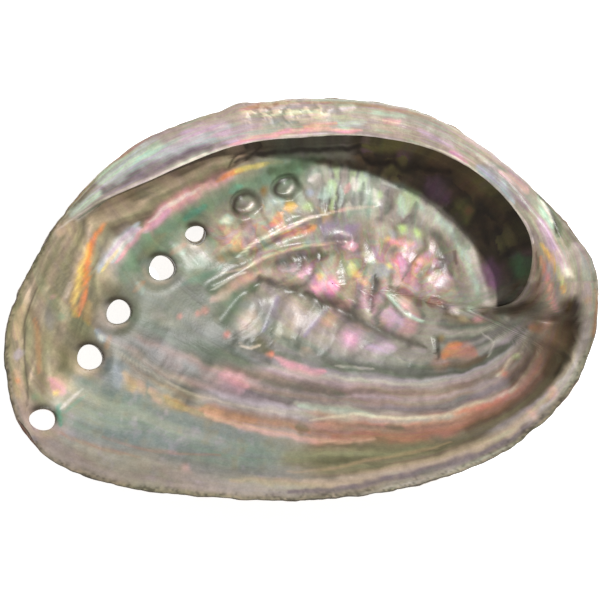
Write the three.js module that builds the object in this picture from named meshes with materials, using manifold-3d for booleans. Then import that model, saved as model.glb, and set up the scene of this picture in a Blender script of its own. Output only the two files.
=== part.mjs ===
// Abalone shell lying on its back with the mouth up: one closed solid with its open breathing holes.
// Millimetres, +Z up. The origin is the middle of the shell's length and width, on the surface that
// it rests on. +X points to the spire end and +Y to the side that carries the flat inner shelf.

import * as THREE from "three";
import { mergeVertices } from "three/addons/utils/BufferGeometryUtils.js";
import Module from "manifold-3d";

const { lerp, smoothstep, euclideanModulo, radToDeg, degToRad } = THREE.MathUtils;

// The deepest point of the bowl in plan. Every section is drawn outwards from it.
const BOWL = new THREE.Vector2(6, 5);
const FLOOR_THICKNESS = 4;
const LIP_THICKNESS = 1.7;
const REST_FLAT_DEPTH = 0.7;

// The shell's margin, anticlockwise from the spire end: x, y, height.
const RIM = [
  [79.6, -1.5, 38.5],
  [78.4, 10.3, 37.5],
  [74.0, 17.0, 36.0],
  [67.5, 25.1, 34.2],
  [61.6, 31.2, 33.6],
  [51.3, 39.8, 33.6],
  [36.9, 48.7, 33.6],
  [15.2, 53.8, 33.8],
  [0.0, 54.1, 34.0],
  [-15.0, 52.3, 34.4],
  [-29.4, 48.2, 34.8],
  [-44.7, 41.5, 35.2],
  [-58.6, 29.1, 35.6],
  [-70.5, 12.7, 35.8],
  [-79.0, -7.0, 35.6],
  [-79.7, -18.0, 34.8],
  [-76.7, -32.2, 34.0],
  [-68.6, -42.4, 34.8],
  [-53.3, -49.1, 36.2],
  [-27.2, -52.9, 37.6],
  [0.0, -54.0, 38.4],
  [22.0, -51.8, 38.8],
  [41.0, -47.1, 39.0],
  [61.6, -36.2, 39.2],
  [74.4, -21.6, 39.0],
];

// The free inner edge of the shelf, from where it dives into the bowl round to its left tip.
const SHELF_EDGE = [
  [45.0, -12.0, 12.0],
  [55.5, -4.0, 19.0],
  [61.0, 1.5, 26.5],
  [62.6, 11.9, 32.5],
  [60.7, 20.0, 35.4],
  [51.3, 31.2, 36.6],
  [37.0, 39.8, 36.4],
  [20.4, 43.8, 36.2],
  [0.0, 43.8, 36.0],
  [-24.2, 39.3, 36.2],
  [-39.6, 32.6, 36.2],
  [-56.0, 24.5, 36.0],
  [-68.0, 14.5, 35.6],
];

// The shelf fades out between these azimuths, in degrees about the bowl, and the steep side behind it too.
const SHELF_SPIRE_END = [-32, 10];
const SHELF_TIP_END = [156, 176];
const STEEP_SIDE_END = [105, 182];

// Under the shelf: azimuth, how far the hollow reaches back, its height there, how late the floor rises.
const HOLLOW = [
  [-32, 0.0, 9, 3.2],
  [-12, 0.4, 12, 3.6],
  [2, 2.0, 17, 4.0],
  [20, 5.0, 19, 4.4],
  [60, 6.0, 21, 4.8],
  [100, 5.0, 23, 4.4],
  [130, 2.5, 26, 3.2],
  [155, 0.6, 29, 2.5],
  [178, 0.0, 30, 2.2],
];

// Over the shelf: azimuth, where its crest and its outer groove lie across it, crest rise, groove drop.
const SHELF_TOP = [
  [-32, 0.62, 0.8, 17.0, -9.0],
  [-14, 0.53, 0.74, 11.0, -3.0],
  [0, 0.54, 0.75, 6.0, 1.6],
  [10, 0.44, 0.7, 2.6, 1.8],
  [20, 0.42, 0.8, 0.7, 1.8],
  [32, 0.55, 0.9, 0.4, 1.3],
  [100, 0.62, 0.9, 0.4, 0.9],
  [178, 0.62, 0.9, 0.3, 0.6],
];

// Round the free lip: azimuth, how late the wall rises, width of the flared band, its rise.
const LIP = [
  [20, 4.0, 5.0, 2.0],
  [90, 4.0, 4.0, 2.0],
  [160, 2.3, 4.0, 2.0],
  [185, 1.9, 4.5, 2.6],
  [205, 1.75, 5.0, 3.0],
  [235, 2.0, 6.5, 3.4],
  [270, 2.3, 6.5, 3.0],
  [300, 2.8, 6.0, 2.6],
  [336, 3.6, 5.4, 2.4],
];

// Breathing holes from the newest, along the keel: x, y, radius along the keel, radius across it,
// height of the collar on the back.
const OPEN_HOLES = [
  [-70.2, -32.4, 4.4, 3.6, 0],
  [-58.0, -15.6, 4.2, 3.9, 1.1],
  [-50.6, -3.0, 4.1, 3.9, 1.4],
  [-39.2, 9.0, 4.2, 3.8, 1.5],
  [-29.4, 18.2, 3.6, 3.4, 1.5],
];
// Sealed holes, blind pits inside with a domed plug: x, y, radius.
const SEALED_HOLES = [
  [-15.2, 26.4, 3.5],
  [-3.8, 31.4, 3.3],
];
// The keel goes on to the spire, with older holes that show only as knobs on the back.
const KEEL_TO_SPIRE = [
  [7.0, 34.6],
  [21.0, 36.0],
  [34.0, 33.4],
  [43.0, 27.6],
];
const KEEL = [...OPEN_HOLES, ...SEALED_HOLES, ...KEEL_TO_SPIRE];

// Low relief inside the bowl: ridges and grooves as routes with a height and a half-width.
const INSIDE_RELIEF = [
  { route: [[-35, 4], [-17, 13], [3, 22], [16, 26]], height: 0.9, halfWidth: 2.2 },
  { route: [[-12, 14], [4, 15.5], [17, 17]], height: -1.2, halfWidth: 3.0 },
  { route: [[-6, 17], [13, 8], [30, -2], [42, -12]], height: -1.0, halfWidth: 2.4 },
  { route: [[8, 2], [22, -6], [40, -17]], height: 0.7, halfWidth: 4.0 },
  { route: [[-24, -4], [-2, -14], [30, -26], [56, -24]], height: 0.6, halfWidth: 5.0 },
  { route: [[24, 18], [33, 12], [40, 3]], height: 0.8, halfWidth: 4.5 },
];

// The spire on the back: a low dome with whorls parted by a groove that winds in to the apex.
const SPIRE = {
  apex: new THREE.Vector2(50, 13),
  radius: 21.5,
  grooveAzimuth: 57,
  growthPerTurn: 6,
  dome: 2.6,
  whorlHeight: 0.12,
};

// The back: keel ridge, knobs of old holes, and growth folds that follow earlier margins.
const KEEL_HEIGHT = 1.4;
const KEEL_HALF_WIDTH = 6;
const KNOB_HEIGHT = 1.2;
const KNOB_RADIUS = 4.5;
const GROWTH_FOLD_HEIGHT = 0.4;
const GROWTH_FOLDS = 8;

// Inside: the channel along the keel and the blind pits of the sealed holes.
const CHANNEL_DEPTH = 1.1;
const CHANNEL_HALF_WIDTH = 4.5;
const PIT_DEPTH = 1.5;
const PIT_PLUG_RADIUS = 1.9;

// How finely the skin is drawn: points round it, and steps in each stretch of a section.
const POINTS_AROUND = 72;
const FLOOR_STEPS = 4;
const WALL_STEPS = 2;
const BACK_STEPS = 2;
const FLOOR_STRETCHES = 5;
const WALL_STRETCHES = 8;

// A value or values read round the shell from rows of [azimuth in degrees, ...values], smoothly.
function around(rows, azimuth) {
  const count = rows.length;
  const turn = (row, lap) => row[0] + 360 * lap;
  const angle = euclideanModulo(azimuth - rows[0][0], 360) + rows[0][0];
  let i = count - 1;
  while (rows[i][0] > angle) i--;
  const at = (k) => [turn(rows[euclideanModulo(k, count)], Math.floor(k / count)), rows[euclideanModulo(k, count)]];
  const [[a0, before], [a1, low], [a2, high], [a3, after]] = [at(i - 1), at(i), at(i + 1), at(i + 2)];
  const span = a2 - a1;
  const t = (angle - a1) / span;
  return low.slice(1).map((value, k) => {
    const v = [before[k + 1], value, high[k + 1], after[k + 1]];
    const slopeLow = ((v[2] - v[0]) / (a2 - a0)) * span;
    const slopeHigh = ((v[3] - v[1]) / (a3 - a1)) * span;
    const t2 = t * t;
    const t3 = t2 * t;
    return (2 * t3 - 3 * t2 + 1) * v[1] + (t3 - 2 * t2 + t) * slopeLow
      + (3 * t2 - 2 * t3) * v[2] + (t3 - t2) * slopeHigh;
  });
}

// Points [x, y, height] as rows of [azimuth, radius, height] about the bowl.
function polarRows(points) {
  return points
    .map(([x, y, z]) => {
      const arm = new THREE.Vector2(x, y).sub(BOWL);
      const azimuth = radToDeg(Math.atan2(arm.y, arm.x));
      return [azimuth < SHELF_SPIRE_END[0] - 1 ? azimuth + 360 : azimuth, arm.length(), z];
    })
    .sort((a, b) => a[0] - b[0]);
}

const rimRows = polarRows(RIM);
const edgeRows = polarRows(SHELF_EDGE);

// How much of the shelf, or of the steep side behind it, there is at an azimuth, from 0 to 1.
function shelfShare(azimuth, farEnd) {
  const a = euclideanModulo(azimuth + 90, 360) - 90;
  return smoothstep(a, ...SHELF_SPIRE_END) * (1 - smoothstep(a, ...farEnd));
}

// The inside of a section at a free lip: floor, wall and flared band, as [radius, height] points.
function lipInside(azimuth, rimRadius, rimHeight) {
  const [power, band, rise] = around(LIP, azimuth);
  const bandRadius = rimRadius - band;
  const bandHeight = rimHeight - rise;
  const wall = [0, 0.2, 0.4, 0.58, 0.72, 0.83, 0.9, 0.955, 1].map((share) => [
    share * bandRadius,
    FLOOR_THICKNESS + (bandHeight - FLOOR_THICKNESS) * share ** power,
  ]);
  const flare = [0.3, 0.55, 0.8].map((share) => [
    bandRadius + band * share,
    bandHeight + rise * share ** 0.8,
  ]);
  return [...wall, ...flare, [rimRadius, rimHeight]];
}

// The inside of a section under and over the shelf: floor, hollow, roof, free edge, top, margin.
function shelfInside(azimuth, rimRadius, rimHeight) {
  const [edgeRadius, edgeHeight] = around(edgeRows, azimuth);
  const [reach, wallHeight, power] = around(HOLLOW, azimuth);
  const [crestAt, grooveAt, rise, drop] = around(SHELF_TOP, azimuth);
  const wallRadius = edgeRadius + reach;
  const floor = [0, 0.22, 0.43, 0.62, 0.78, 0.91].map((share) => [
    share * wallRadius,
    FLOOR_THICKNESS + (wallHeight - FLOOR_THICKNESS) * share ** power,
  ]);
  const across = (share) => lerp(edgeRadius, rimRadius, share);
  const crest = edgeHeight + rise;
  return [
    ...floor,
    [wallRadius, wallHeight],
    [lerp(wallRadius, edgeRadius, 0.45), lerp(wallHeight, edgeHeight, 0.72)],
    [edgeRadius, edgeHeight - 0.9],
    [edgeRadius + 0.5, edgeHeight],
    [across(crestAt), crest],
    [across(grooveAt), crest - drop],
    [rimRadius, rimHeight],
  ];
}

// The back of a section from the margin in to the crown: a sloping lip, or a steep side by the shelf.
function backOf(azimuth, rimRadius, rimHeight) {
  const [power] = around(LIP, azimuth);
  const share = shelfShare(azimuth, STEEP_SIDE_END);
  const shares = [1, 0.985, 0.95, 0.9, 0.83, 0.74, 0.63, 0.5, 0.36, 0.2, 0];
  return shares.map((q) => {
    const sloping = (rimHeight - LIP_THICKNESS) * q ** power;
    const steep = (rimHeight - LIP_THICKNESS) * (1 - (1 - q ** 3.2) ** (1 / 2.2));
    return [q * rimRadius, lerp(sloping, steep, share) - REST_FLAT_DEPTH];
  });
}

// One section, from the middle of the bowl over the margin to the crown, as plan points with heights.
function section(azimuth) {
  const [rimRadius, rimHeight] = around(rimRows, azimuth);
  const share = shelfShare(azimuth, SHELF_TIP_END);
  const lip = lipInside(azimuth, rimRadius, rimHeight);
  const shelf = share > 0 ? shelfInside(azimuth, rimRadius, rimHeight) : lip;
  const inside = lip.map(([r, z], i) => [lerp(r, shelf[i][0], share), lerp(z, shelf[i][1], share)]);
  const profile = [...inside, ...backOf(azimuth, rimRadius, rimHeight)];
  const curve = new THREE.SplineCurve(profile.map(([r, z]) => new THREE.Vector2(r, z)));
  const stretches = profile.length - 1;
  const points = [];
  for (let i = 0; i < stretches; i++) {
    const steps = i < FLOOR_STRETCHES ? FLOOR_STEPS : i < FLOOR_STRETCHES + WALL_STRETCHES ? WALL_STEPS : BACK_STEPS;
    for (let k = 0; k < steps; k++) points.push(curve.getPoint((i + k / steps) / stretches));
  }
  points.push(curve.getPoint(1));
  return points;
}

// Rings of a section that face into the bowl, up to and including the margin.
const INSIDE_RINGS = FLOOR_STRETCHES * FLOOR_STEPS + (WALL_STRETCHES - 1) * WALL_STEPS;

// Azimuths that part the margin into equal lengths.
function evenAzimuths(count) {
  const margin = new THREE.CatmullRomCurve3(RIM.map(([x, y]) => new THREE.Vector3(x, y, 0)), true);
  return margin.getSpacedPoints(count).slice(0, count)
    .map((p) => radToDeg(Math.atan2(p.y - BOWL.y, p.x - BOWL.x)));
}

// A route in plan as close points, and the distance from a point to it.
function planRoute(points) {
  return new THREE.SplineCurve(points.map(([x, y]) => new THREE.Vector2(x, y))).getPoints(60);
}
function distanceTo(route, point) {
  return Math.min(...route.map((p) => p.distanceTo(point)));
}
const bell = (distance, halfWidth) => Math.exp(-((distance / halfWidth) ** 2));

const keelRoute = planRoute(KEEL);
const reliefRoutes = INSIDE_RELIEF.map((r) => ({ ...r, points: planRoute(r.route) }));

// How far the inside stands proud of its smooth bowl at a point in plan.
function insideRelief(point) {
  const channel = -CHANNEL_DEPTH * bell(distanceTo(keelRoute, point), CHANNEL_HALF_WIDTH);
  return reliefRoutes.reduce(
    (height, r) => height + r.height * bell(distanceTo(r.points, point), r.halfWidth),
    channel,
  );
}

// How far the spire and its whorls stand out of the back at a point in plan.
function spireRelief(point) {
  const arm = point.clone().sub(SPIRE.apex);
  const r = Math.max(arm.length(), 0.4);
  const turns = (radToDeg(arm.angle()) - SPIRE.grooveAzimuth) / 360;
  const whorl = Math.log(r / SPIRE.radius) / Math.log(SPIRE.growthPerTurn) - turns;
  const bulge = Math.sin(Math.PI * euclideanModulo(whorl, 1)) ** 0.6 - 0.6;
  const inSpire = 1 - smoothstep(r, SPIRE.radius * 0.75, SPIRE.radius * 1.25);
  return SPIRE.dome * bell(r, SPIRE.radius * 0.8) + SPIRE.whorlHeight * r * bulge * inSpire;
}

const rimAboutApex = RIM
  .map(([x, y]) => new THREE.Vector2(x, y).sub(SPIRE.apex))
  .map((arm) => [radToDeg(arm.angle()), arm.length()])
  .sort((a, b) => a[0] - b[0]);

// The size of the earlier margin through a point in plan, 1 being today's margin. Each earlier margin
// is today's one shrunk about the apex and turned back with the growing whorl.
function marginSize(point) {
  const arm = point.clone().sub(SPIRE.apex);
  let size = 1;
  for (let i = 0; i < 24; i++) {
    const turnedBack = (-360 * Math.log(size)) / Math.log(SPIRE.growthPerTurn);
    const [reach] = around(rimAboutApex, radToDeg(arm.angle()) + turnedBack);
    size = lerp(size, Math.max(arm.length() / reach, 0.02), 0.4);
  }
  return size;
}

// How far the back stands proud of its smooth dome at a point in plan, share being 1 at the margin.
function backRelief(point, share) {
  let height = KEEL_HEIGHT * bell(distanceTo(keelRoute, point), KEEL_HALF_WIDTH) + spireRelief(point);
  height += GROWTH_FOLD_HEIGHT * Math.sin(2 * Math.PI * GROWTH_FOLDS * marginSize(point));
  for (const [x, y] of [...SEALED_HOLES, ...KEEL_TO_SPIRE]) {
    height += KNOB_HEIGHT * bell(Math.hypot(point.x - x, point.y - y), KNOB_RADIUS);
  }
  return height * smoothstep(share, 0.2, 0.5) * (1 - smoothstep(share, 0.96, 1));
}

// The closed skin: rings of points from the middle of the bowl, over the margin, to the crown.
function skinGeometry() {
  const azimuths = evenAzimuths(POINTS_AROUND);
  const sections = azimuths.map(section);
  const ringCount = sections[0].length - 2;
  const positions = [BOWL.x, BOWL.y, sections[0][0].y];
  for (let ring = 1; ring <= ringCount; ring++) {
    sections.forEach((points, i) => {
      const a = degToRad(azimuths[i]);
      const { x: r, y: z } = points[ring];
      positions.push(BOWL.x + r * Math.cos(a), BOWL.y + r * Math.sin(a), z);
    });
  }
  positions.push(BOWL.x, BOWL.y, sections[0].at(-1).y);
  const at = (ring, i) => 1 + (ring - 1) * POINTS_AROUND + (i % POINTS_AROUND);
  const crown = 1 + ringCount * POINTS_AROUND;
  const index = [];
  for (let i = 0; i < POINTS_AROUND; i++) {
    index.push(0, at(1, i), at(1, i + 1));
    index.push(crown, at(ringCount, i + 1), at(ringCount, i));
    for (let ring = 1; ring < ringCount; ring++) {
      index.push(at(ring, i), at(ring + 1, i), at(ring + 1, i + 1));
      index.push(at(ring, i), at(ring + 1, i + 1), at(ring, i + 1));
    }
  }
  const skin = new THREE.BufferGeometry();
  skin.setAttribute("position", new THREE.Float32BufferAttribute(positions, 3));
  skin.setIndex(index);
  skin.computeVertexNormals();
  raiseRelief(skin, azimuths, ringCount);
  return skin;
}

// Moves the skin's points along their normals by the relief, and flattens the crown to rest on.
function raiseRelief(skin, azimuths, ringCount) {
  const position = skin.getAttribute("position");
  const normal = skin.getAttribute("normal");
  const point = new THREE.Vector3();
  const out = new THREE.Vector3();
  const wallStart = FLOOR_STRETCHES * FLOOR_STEPS;
  for (let i = 0; i < position.count; i++) {
    const ring = i === 0 ? 0 : Math.min(Math.floor((i - 1) / POINTS_AROUND) + 1, ringCount + 1);
    const azimuth = azimuths[(i - 1 + POINTS_AROUND) % POINTS_AROUND];
    point.fromBufferAttribute(position, i);
    out.fromBufferAttribute(normal, i);
    const plan = new THREE.Vector2(point.x, point.y);
    if (ring <= INSIDE_RINGS) {
      const fade = 1 - smoothstep(ring, wallStart, wallStart + 2 * WALL_STEPS);
      point.addScaledVector(out, insideRelief(plan) * fade);
    } else {
      const share = plan.distanceTo(BOWL) / around(rimRows, azimuth)[0];
      point.addScaledVector(out, backRelief(plan, share));
      point.z = Math.max(point.z, 0);
    }
    position.setXYZ(i, point.x, point.y, point.z);
  }
}

// The wall at a point in plan: its middle, its inner point, half its thickness and which way it faces.
function wallFinder(skin) {
  const target = new THREE.Mesh(skin, new THREE.MeshBasicMaterial({ side: THREE.DoubleSide }));
  const ray = new THREE.Raycaster();
  return (x, y) => {
    ray.set(new THREE.Vector3(x, y, 100), new THREE.Vector3(0, 0, -1));
    const hits = ray.intersectObject(target);
    const inner = hits[0];
    const outer = hits.at(-1);
    const facing = inner.face.normal.clone().sub(outer.face.normal).normalize();
    const middle = inner.point.clone().lerp(outer.point, 0.5);
    const half = 0.5 * facing.z * inner.point.distanceTo(outer.point);
    return { facing, middle, inner: inner.point, half };
  };
}

// An oval cone through the wall, from a depth below its middle to a height above it.
function holeCone([x, y, along, across], wall, [lowScale, low], [highScale, high]) {
  const cone = new THREE.CylinderGeometry(highScale, lowScale, high - low, 18);
  cone.rotateX(Math.PI / 2);
  cone.translate(0, 0, (high + low) / 2);
  cone.scale(across, along, 1);
  cone.rotateZ(Math.atan2(y - BOWL.y, x - BOWL.x));
  cone.applyQuaternion(new THREE.Quaternion().setFromUnitVectors(new THREE.Vector3(0, 0, 1), wall.facing));
  cone.translate(wall.middle.x, wall.middle.y, wall.middle.z);
  return cone;
}

// A ball whose middle stands a given distance off the inner face.
function ballOff(wall, radius, offset) {
  const at = wall.inner.clone().addScaledVector(wall.facing, offset);
  return new THREE.IcosahedronGeometry(radius, 2).translate(at.x, at.y, at.z);
}

const wasm = await Module();
wasm.setup();

function solidOf(geometry) {
  const bare = geometry.clone();
  bare.deleteAttribute("normal");
  bare.deleteAttribute("uv");
  const merged = mergeVertices(bare, 1e-4);
  return new wasm.Manifold(new wasm.Mesh({
    numProp: 3,
    vertProperties: merged.attributes.position.array,
    triVerts: new Uint32Array(merged.index.array),
  }));
}

function geometryOf(solid) {
  const mesh = solid.getMesh();
  const geometry = new THREE.BufferGeometry();
  geometry.setAttribute("position", new THREE.BufferAttribute(mesh.vertProperties, 3));
  geometry.setIndex(new THREE.BufferAttribute(mesh.triVerts, 1));
  geometry.computeVertexNormals();
  return geometry;
}

// Raises a collar round an open hole on the back, and bores the hole.
function pierce(solid, hole, wall) {
  const collarHeight = hole[4];
  const bore = holeCone(hole, wall, [0.92, -9], [1, 9]);
  const collar = holeCone(hole, wall, [1.3, -wall.half - collarHeight], [1.8, 0]);
  const raised = collarHeight > 0 ? solid.add(solidOf(collar)) : solid;
  return raised.subtract(solidOf(bore));
}

// Sinks a blind pit into the inner face and leaves its domed plug standing.
function seal(solid, [, , radius], wall) {
  const ball = (radius ** 2 + PIT_DEPTH ** 2) / (2 * PIT_DEPTH);
  const pit = ballOff(wall, ball, ball - PIT_DEPTH);
  const plug = ballOff(wall, PIT_PLUG_RADIUS, -PIT_DEPTH - 0.35 * PIT_PLUG_RADIUS);
  return solid.subtract(solidOf(pit)).add(solidOf(plug));
}

function shellGeometry() {
  const skin = skinGeometry();
  const findWall = wallFinder(skin);
  let solid = solidOf(skin);
  for (const hole of OPEN_HOLES) solid = pierce(solid, hole, findWall(hole[0], hole[1]));
  for (const hole of SEALED_HOLES) solid = seal(solid, hole, findWall(hole[0], hole[1]));
  return geometryOf(solid);
}

const nacre = new THREE.MeshStandardMaterial({ color: 0xb3aca3, roughness: 0.28, metalness: 0.1 });
const shell = new THREE.Mesh(shellGeometry(), nacre);
shell.name = "shell";

const abalone = new THREE.Group();
abalone.add(shell);

export default abalone;
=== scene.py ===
# Abalone shell with its inside up: fine relief, painted nacre and a rough, crusted back.
# The mesh is worked out in millimetres in the part's own frame and scaled to metres at the end.

import math
from collections import namedtuple

import bpy
import numpy as np
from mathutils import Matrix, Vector
from mathutils.kdtree import KDTree


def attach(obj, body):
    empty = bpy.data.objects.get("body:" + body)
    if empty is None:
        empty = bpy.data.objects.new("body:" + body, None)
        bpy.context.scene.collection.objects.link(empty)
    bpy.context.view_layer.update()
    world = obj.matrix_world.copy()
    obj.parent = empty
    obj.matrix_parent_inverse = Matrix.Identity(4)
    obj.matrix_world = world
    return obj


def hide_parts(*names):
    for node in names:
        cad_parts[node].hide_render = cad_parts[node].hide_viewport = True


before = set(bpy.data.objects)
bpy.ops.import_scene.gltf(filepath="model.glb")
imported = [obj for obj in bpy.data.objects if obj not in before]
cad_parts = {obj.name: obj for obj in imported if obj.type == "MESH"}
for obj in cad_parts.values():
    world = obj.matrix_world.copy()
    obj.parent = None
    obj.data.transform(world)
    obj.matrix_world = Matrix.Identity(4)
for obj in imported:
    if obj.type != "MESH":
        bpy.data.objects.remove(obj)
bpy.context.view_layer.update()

MM = 0.001

# The bowl's deepest point in plan, and the shell's main thicknesses.
BOWL = np.array([6.0, 5.0])
FLOOR_THICKNESS = 4.0
LIP_THICKNESS = 1.7
REST_FLAT_DEPTH = 0.7

# The shell's margin, anticlockwise from the spire end: x, y, height.
RIM = [
    (79.6, -1.5, 38.5), (78.4, 10.3, 37.5), (74.0, 17.0, 36.0), (67.5, 25.1, 34.2), (61.6, 31.2, 33.6),
    (51.3, 39.8, 33.6), (36.9, 48.7, 33.6), (15.2, 53.8, 33.8), (0.0, 54.1, 34.0), (-15.0, 52.3, 34.4),
    (-29.4, 48.2, 34.8), (-44.7, 41.5, 35.2), (-58.6, 29.1, 35.6), (-70.5, 12.7, 35.8), (-79.0, -7.0, 35.6),
    (-79.7, -18.0, 34.8), (-76.7, -32.2, 34.0), (-68.6, -42.4, 34.8), (-53.3, -49.1, 36.2),
    (-27.2, -52.9, 37.6), (0.0, -54.0, 38.4), (22.0, -51.8, 38.8), (41.0, -47.1, 39.0), (61.6, -36.2, 39.2),
    (74.4, -21.6, 39.0),
]
# The free inner edge of the shelf, from where it dives into the bowl round to its left tip.
SHELF_EDGE = [
    (46.0, -2.8, 9.5), (54.0, -2.4, 14.5), (58.5, -1.0, 19.5), (61.6, 2.8, 25.5), (63.0, 9.3, 31.0),
    (62.6, 14.9, 33.8), (60.7, 20.0, 35.4), (51.3, 31.2, 36.6), (37.0, 39.8, 36.4), (20.4, 43.8, 36.2),
    (0.0, 43.8, 36.0), (-24.2, 39.3, 36.2), (-39.6, 32.6, 36.2), (-56.0, 24.5, 36.0), (-68.0, 14.5, 35.6),
]
# The shelf, the step below its edge, its own paint and the steep side behind it fade out between these
# azimuths about the bowl, in degrees.
SHELF_SPIRE_END = (-20, -9)
SHELF_STEP_END = (-11.5, -8.5)
SHELF_PAINT_END = (-13, 0)
SHELF_TIP_END = (156, 176)
STEEP_SIDE_END = (105, 182)
# How far the end of the shelf slopes down on to the floor, where it has no step.
SHELF_END_RUN = 4.5
# The floor counts as under the shelf from this far before the shelf's edge.
UNDER_EDGE = 0.6
# Under the shelf: azimuth, how far the hollow reaches back, its height there, how late the floor rises.
HOLLOW = [
    (-32, 0.0, 8, 3.2), (-9, 0.0, 10, 3.6), (2, 2.0, 17, 4.0), (20, 5.0, 19, 4.4), (60, 6.0, 21, 4.8),
    (100, 5.0, 23, 4.4), (130, 1.6, 28, 2.6), (155, 0.3, 31, 2.2), (178, 0.0, 31, 2.1),
]
# Over the shelf: azimuth, where its crest and outer groove lie across it, crest rise, groove drop.
SHELF_TOP = [
    (-32, 0.62, 0.8, 17.0, -9.0), (-14, 0.53, 0.74, 11.0, -3.0), (0, 0.54, 0.75, 6.0, 1.6),
    (10, 0.44, 0.7, 2.6, 1.8), (20, 0.42, 0.8, 0.7, 1.8), (32, 0.55, 0.9, 0.4, 1.3),
    (100, 0.62, 0.9, 0.4, 0.9), (178, 0.62, 0.9, 0.3, 0.6),
]
# Round the free lip: azimuth, how late the wall rises, width of the flared band, its rise.
LIP = [
    (20, 4.0, 5.0, 2.0), (90, 4.0, 4.0, 2.0), (160, 2.3, 4.0, 2.0), (185, 1.9, 4.5, 2.6),
    (205, 1.75, 5.0, 3.0), (235, 2.0, 6.5, 3.4), (270, 2.3, 6.5, 3.0), (300, 2.8, 6.0, 2.6),
    (336, 3.6, 5.4, 2.4),
]
# The steep side behind the shelf is a squared-off oval: the powers of its run and its drop.
STEEP_SIDE_POWERS = (3.2, 2.2)
# Where the points of a section lie, as shares of its reach: the floor up to the flared band, the band
# itself, the floor up to the wall under the shelf, and the back.
FLOOR_SHARES = (0, 0.2, 0.4, 0.58, 0.72, 0.83, 0.9, 0.955, 1)
BAND_SHARES = (0.7, 0.45, 0.2, 0)
UNDER_SHELF_SHARES = (0, 0.22, 0.43, 0.62, 0.78, 0.91)
BACK_SHARES = (1, 0.985, 0.95, 0.9, 0.83, 0.74, 0.63, 0.5, 0.36, 0.2, 0)

# Breathing holes from the newest, with the height of the collar behind each, and the sealed holes.
Hole = namedtuple("Hole", "x y half_width half_depth collar")
OPEN_HOLES = [
    Hole(-70.4, -32.8, 3.9, 3.0, 0.52),
    Hole(-58.4, -16.0, 3.9, 3.5, 1.43),
    Hole(-50.7, -3.4, 3.6, 3.5, 1.82),
    Hole(-39.0, 8.9, 4.0, 3.5, 1.95),
    Hole(-29.3, 18.1, 2.9, 2.9, 1.95),
]
Pit = namedtuple("Pit", "x y radius")
SEALED_HOLES = [Pit(-15.2, 26.4, 3.5), Pit(-3.8, 31.4, 3.3)]
# The keel's direction at the sealed holes, how far these are drawn out along it and across it, and the
# direction from the open holes to the shelf.
KEEL_RUN = (0.87, 0.5)
PIT_STRETCH = (1.15, 0.9)
TO_SHELF = (0.45, 0.89)
# The keel runs through the holes to the spire, with knobs on the back where older holes were.
KEEL_TO_SPIRE = [(7.0, 34.6), (21.0, 36.0), (34.0, 33.4), (43.0, 27.6)]
KEEL = [hole[:2] for hole in OPEN_HOLES + SEALED_HOLES] + KEEL_TO_SPIRE
KNOBS = [pit[:2] for pit in SEALED_HOLES] + KEEL_TO_SPIRE
# A lump of crust on the margin beside the shelf.
LUMP = (-16.2, 52.2)
LUMP_HEIGHT = 0.9
LUMP_RADIUS = 3.4
# The spire on the back, where its groove starts, and how many times larger the shell grows in one turn.
SPIRE_APEX = np.array([50.0, 13.0])
SPIRE_RADIUS = 21.5
SPIRE_GROOVE_AZIMUTH = 57
GROWTH_PER_TURN = 6.0

# Low relief inside the bowl, in mm.
FUNNEL_DEPTH = 1.1
FUNNEL_WIDTH = 2.2
PIT_DEPTH = 1.7
PIT_RIM_HEIGHT = 0.35
PEARL_HEIGHT = 1.5
CRUMB_HEIGHT = 0.4
FURROW_DEPTH = 0.5
GROWTH_LINE_HEIGHT = 0.07
# Low relief of the margin and the back, with the number of yearly steps and of cords.
CHIP_DEPTH = 0.22
FLAKE_DEPTH = 0.25
KEEL_HEIGHT = 1.2
KEEL_HALF_WIDTH = 5.5
KNOB_HEIGHT = 1.3
KNOB_RADIUS = 4.0
COLLAR_WIDTH = 1.5
SPIRE_DOME = 2.6
WHORL_BULGE = 0.17
YEARLY_STEPS = 22
STEP_HEIGHT = 0.65
CORDS = 64
CORD_HEIGHT = 0.22
CRUST_HEIGHT = 0.5
CRUST_CELL = 4.5
CRUST_PATCH = 17
# The grain of the nacre: how many streaks lie across the shelf and across the bowl, how many degrees they
# run, and from what share of the shelf's face on the grain follows the shelf.
SHELF_STREAKS = 18
BOWL_STREAKS = 130
SHELF_STREAK_RUN = 6
BOWL_STREAK_RUN = 12
SHELF_GRAIN_SHARE = 0.3
# About how far the margin lies from the middle of the bowl, for lengths along it.
MEAN_RADIUS = 70

# How finely the skin is drawn: points round it, and steps in each stretch of a section.
POINTS_AROUND = 720
FLOOR_STEPS = (20, 20, 20, 20, 20)
WALL_STEPS = (6, 6, 6)
SHELF_STEPS = (3, 10, 7, 6)
BACK_STEPS = (4, 5, 5, 6, 7, 7, 7, 7, 7, 6, 5)
INSIDE_SPACING = 0.55
BACK_SPACING = 1.25
# The bores of the open holes: points round them, levels along them in mm, how far they turn upright, their
# size against the holes at the middle of the wall, and how much it grows with each mm towards the inside.
BORE_SEGMENTS = 48
BORE_LEVELS = np.linspace(-8, 8, 17)
BORE_UPRIGHT = 0.6
BORE_SIZE = 0.96
BORE_WIDENING = 0.005

# Paint and relief are laid out on a plan sheet of the shell, seen from straight above. Sheet units run
# right and down from its corner, and the sheet lies at the height of the margin.
SHEET_UNIT = 0.2687
SHEET_SIZE = 600
SHEET_MIDDLE = (300.25, 299.25)
EYE_HEIGHT = 750.0
SHEET_HEIGHT = 38.0


# Number helpers.

def ease(x, start, end):
    t = np.clip((x - start) / (end - start), 0, 1)
    return t * t * (3 - 2 * t)


def bell(distance, half_width):
    return np.exp(-((distance / half_width) ** 2))


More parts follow.
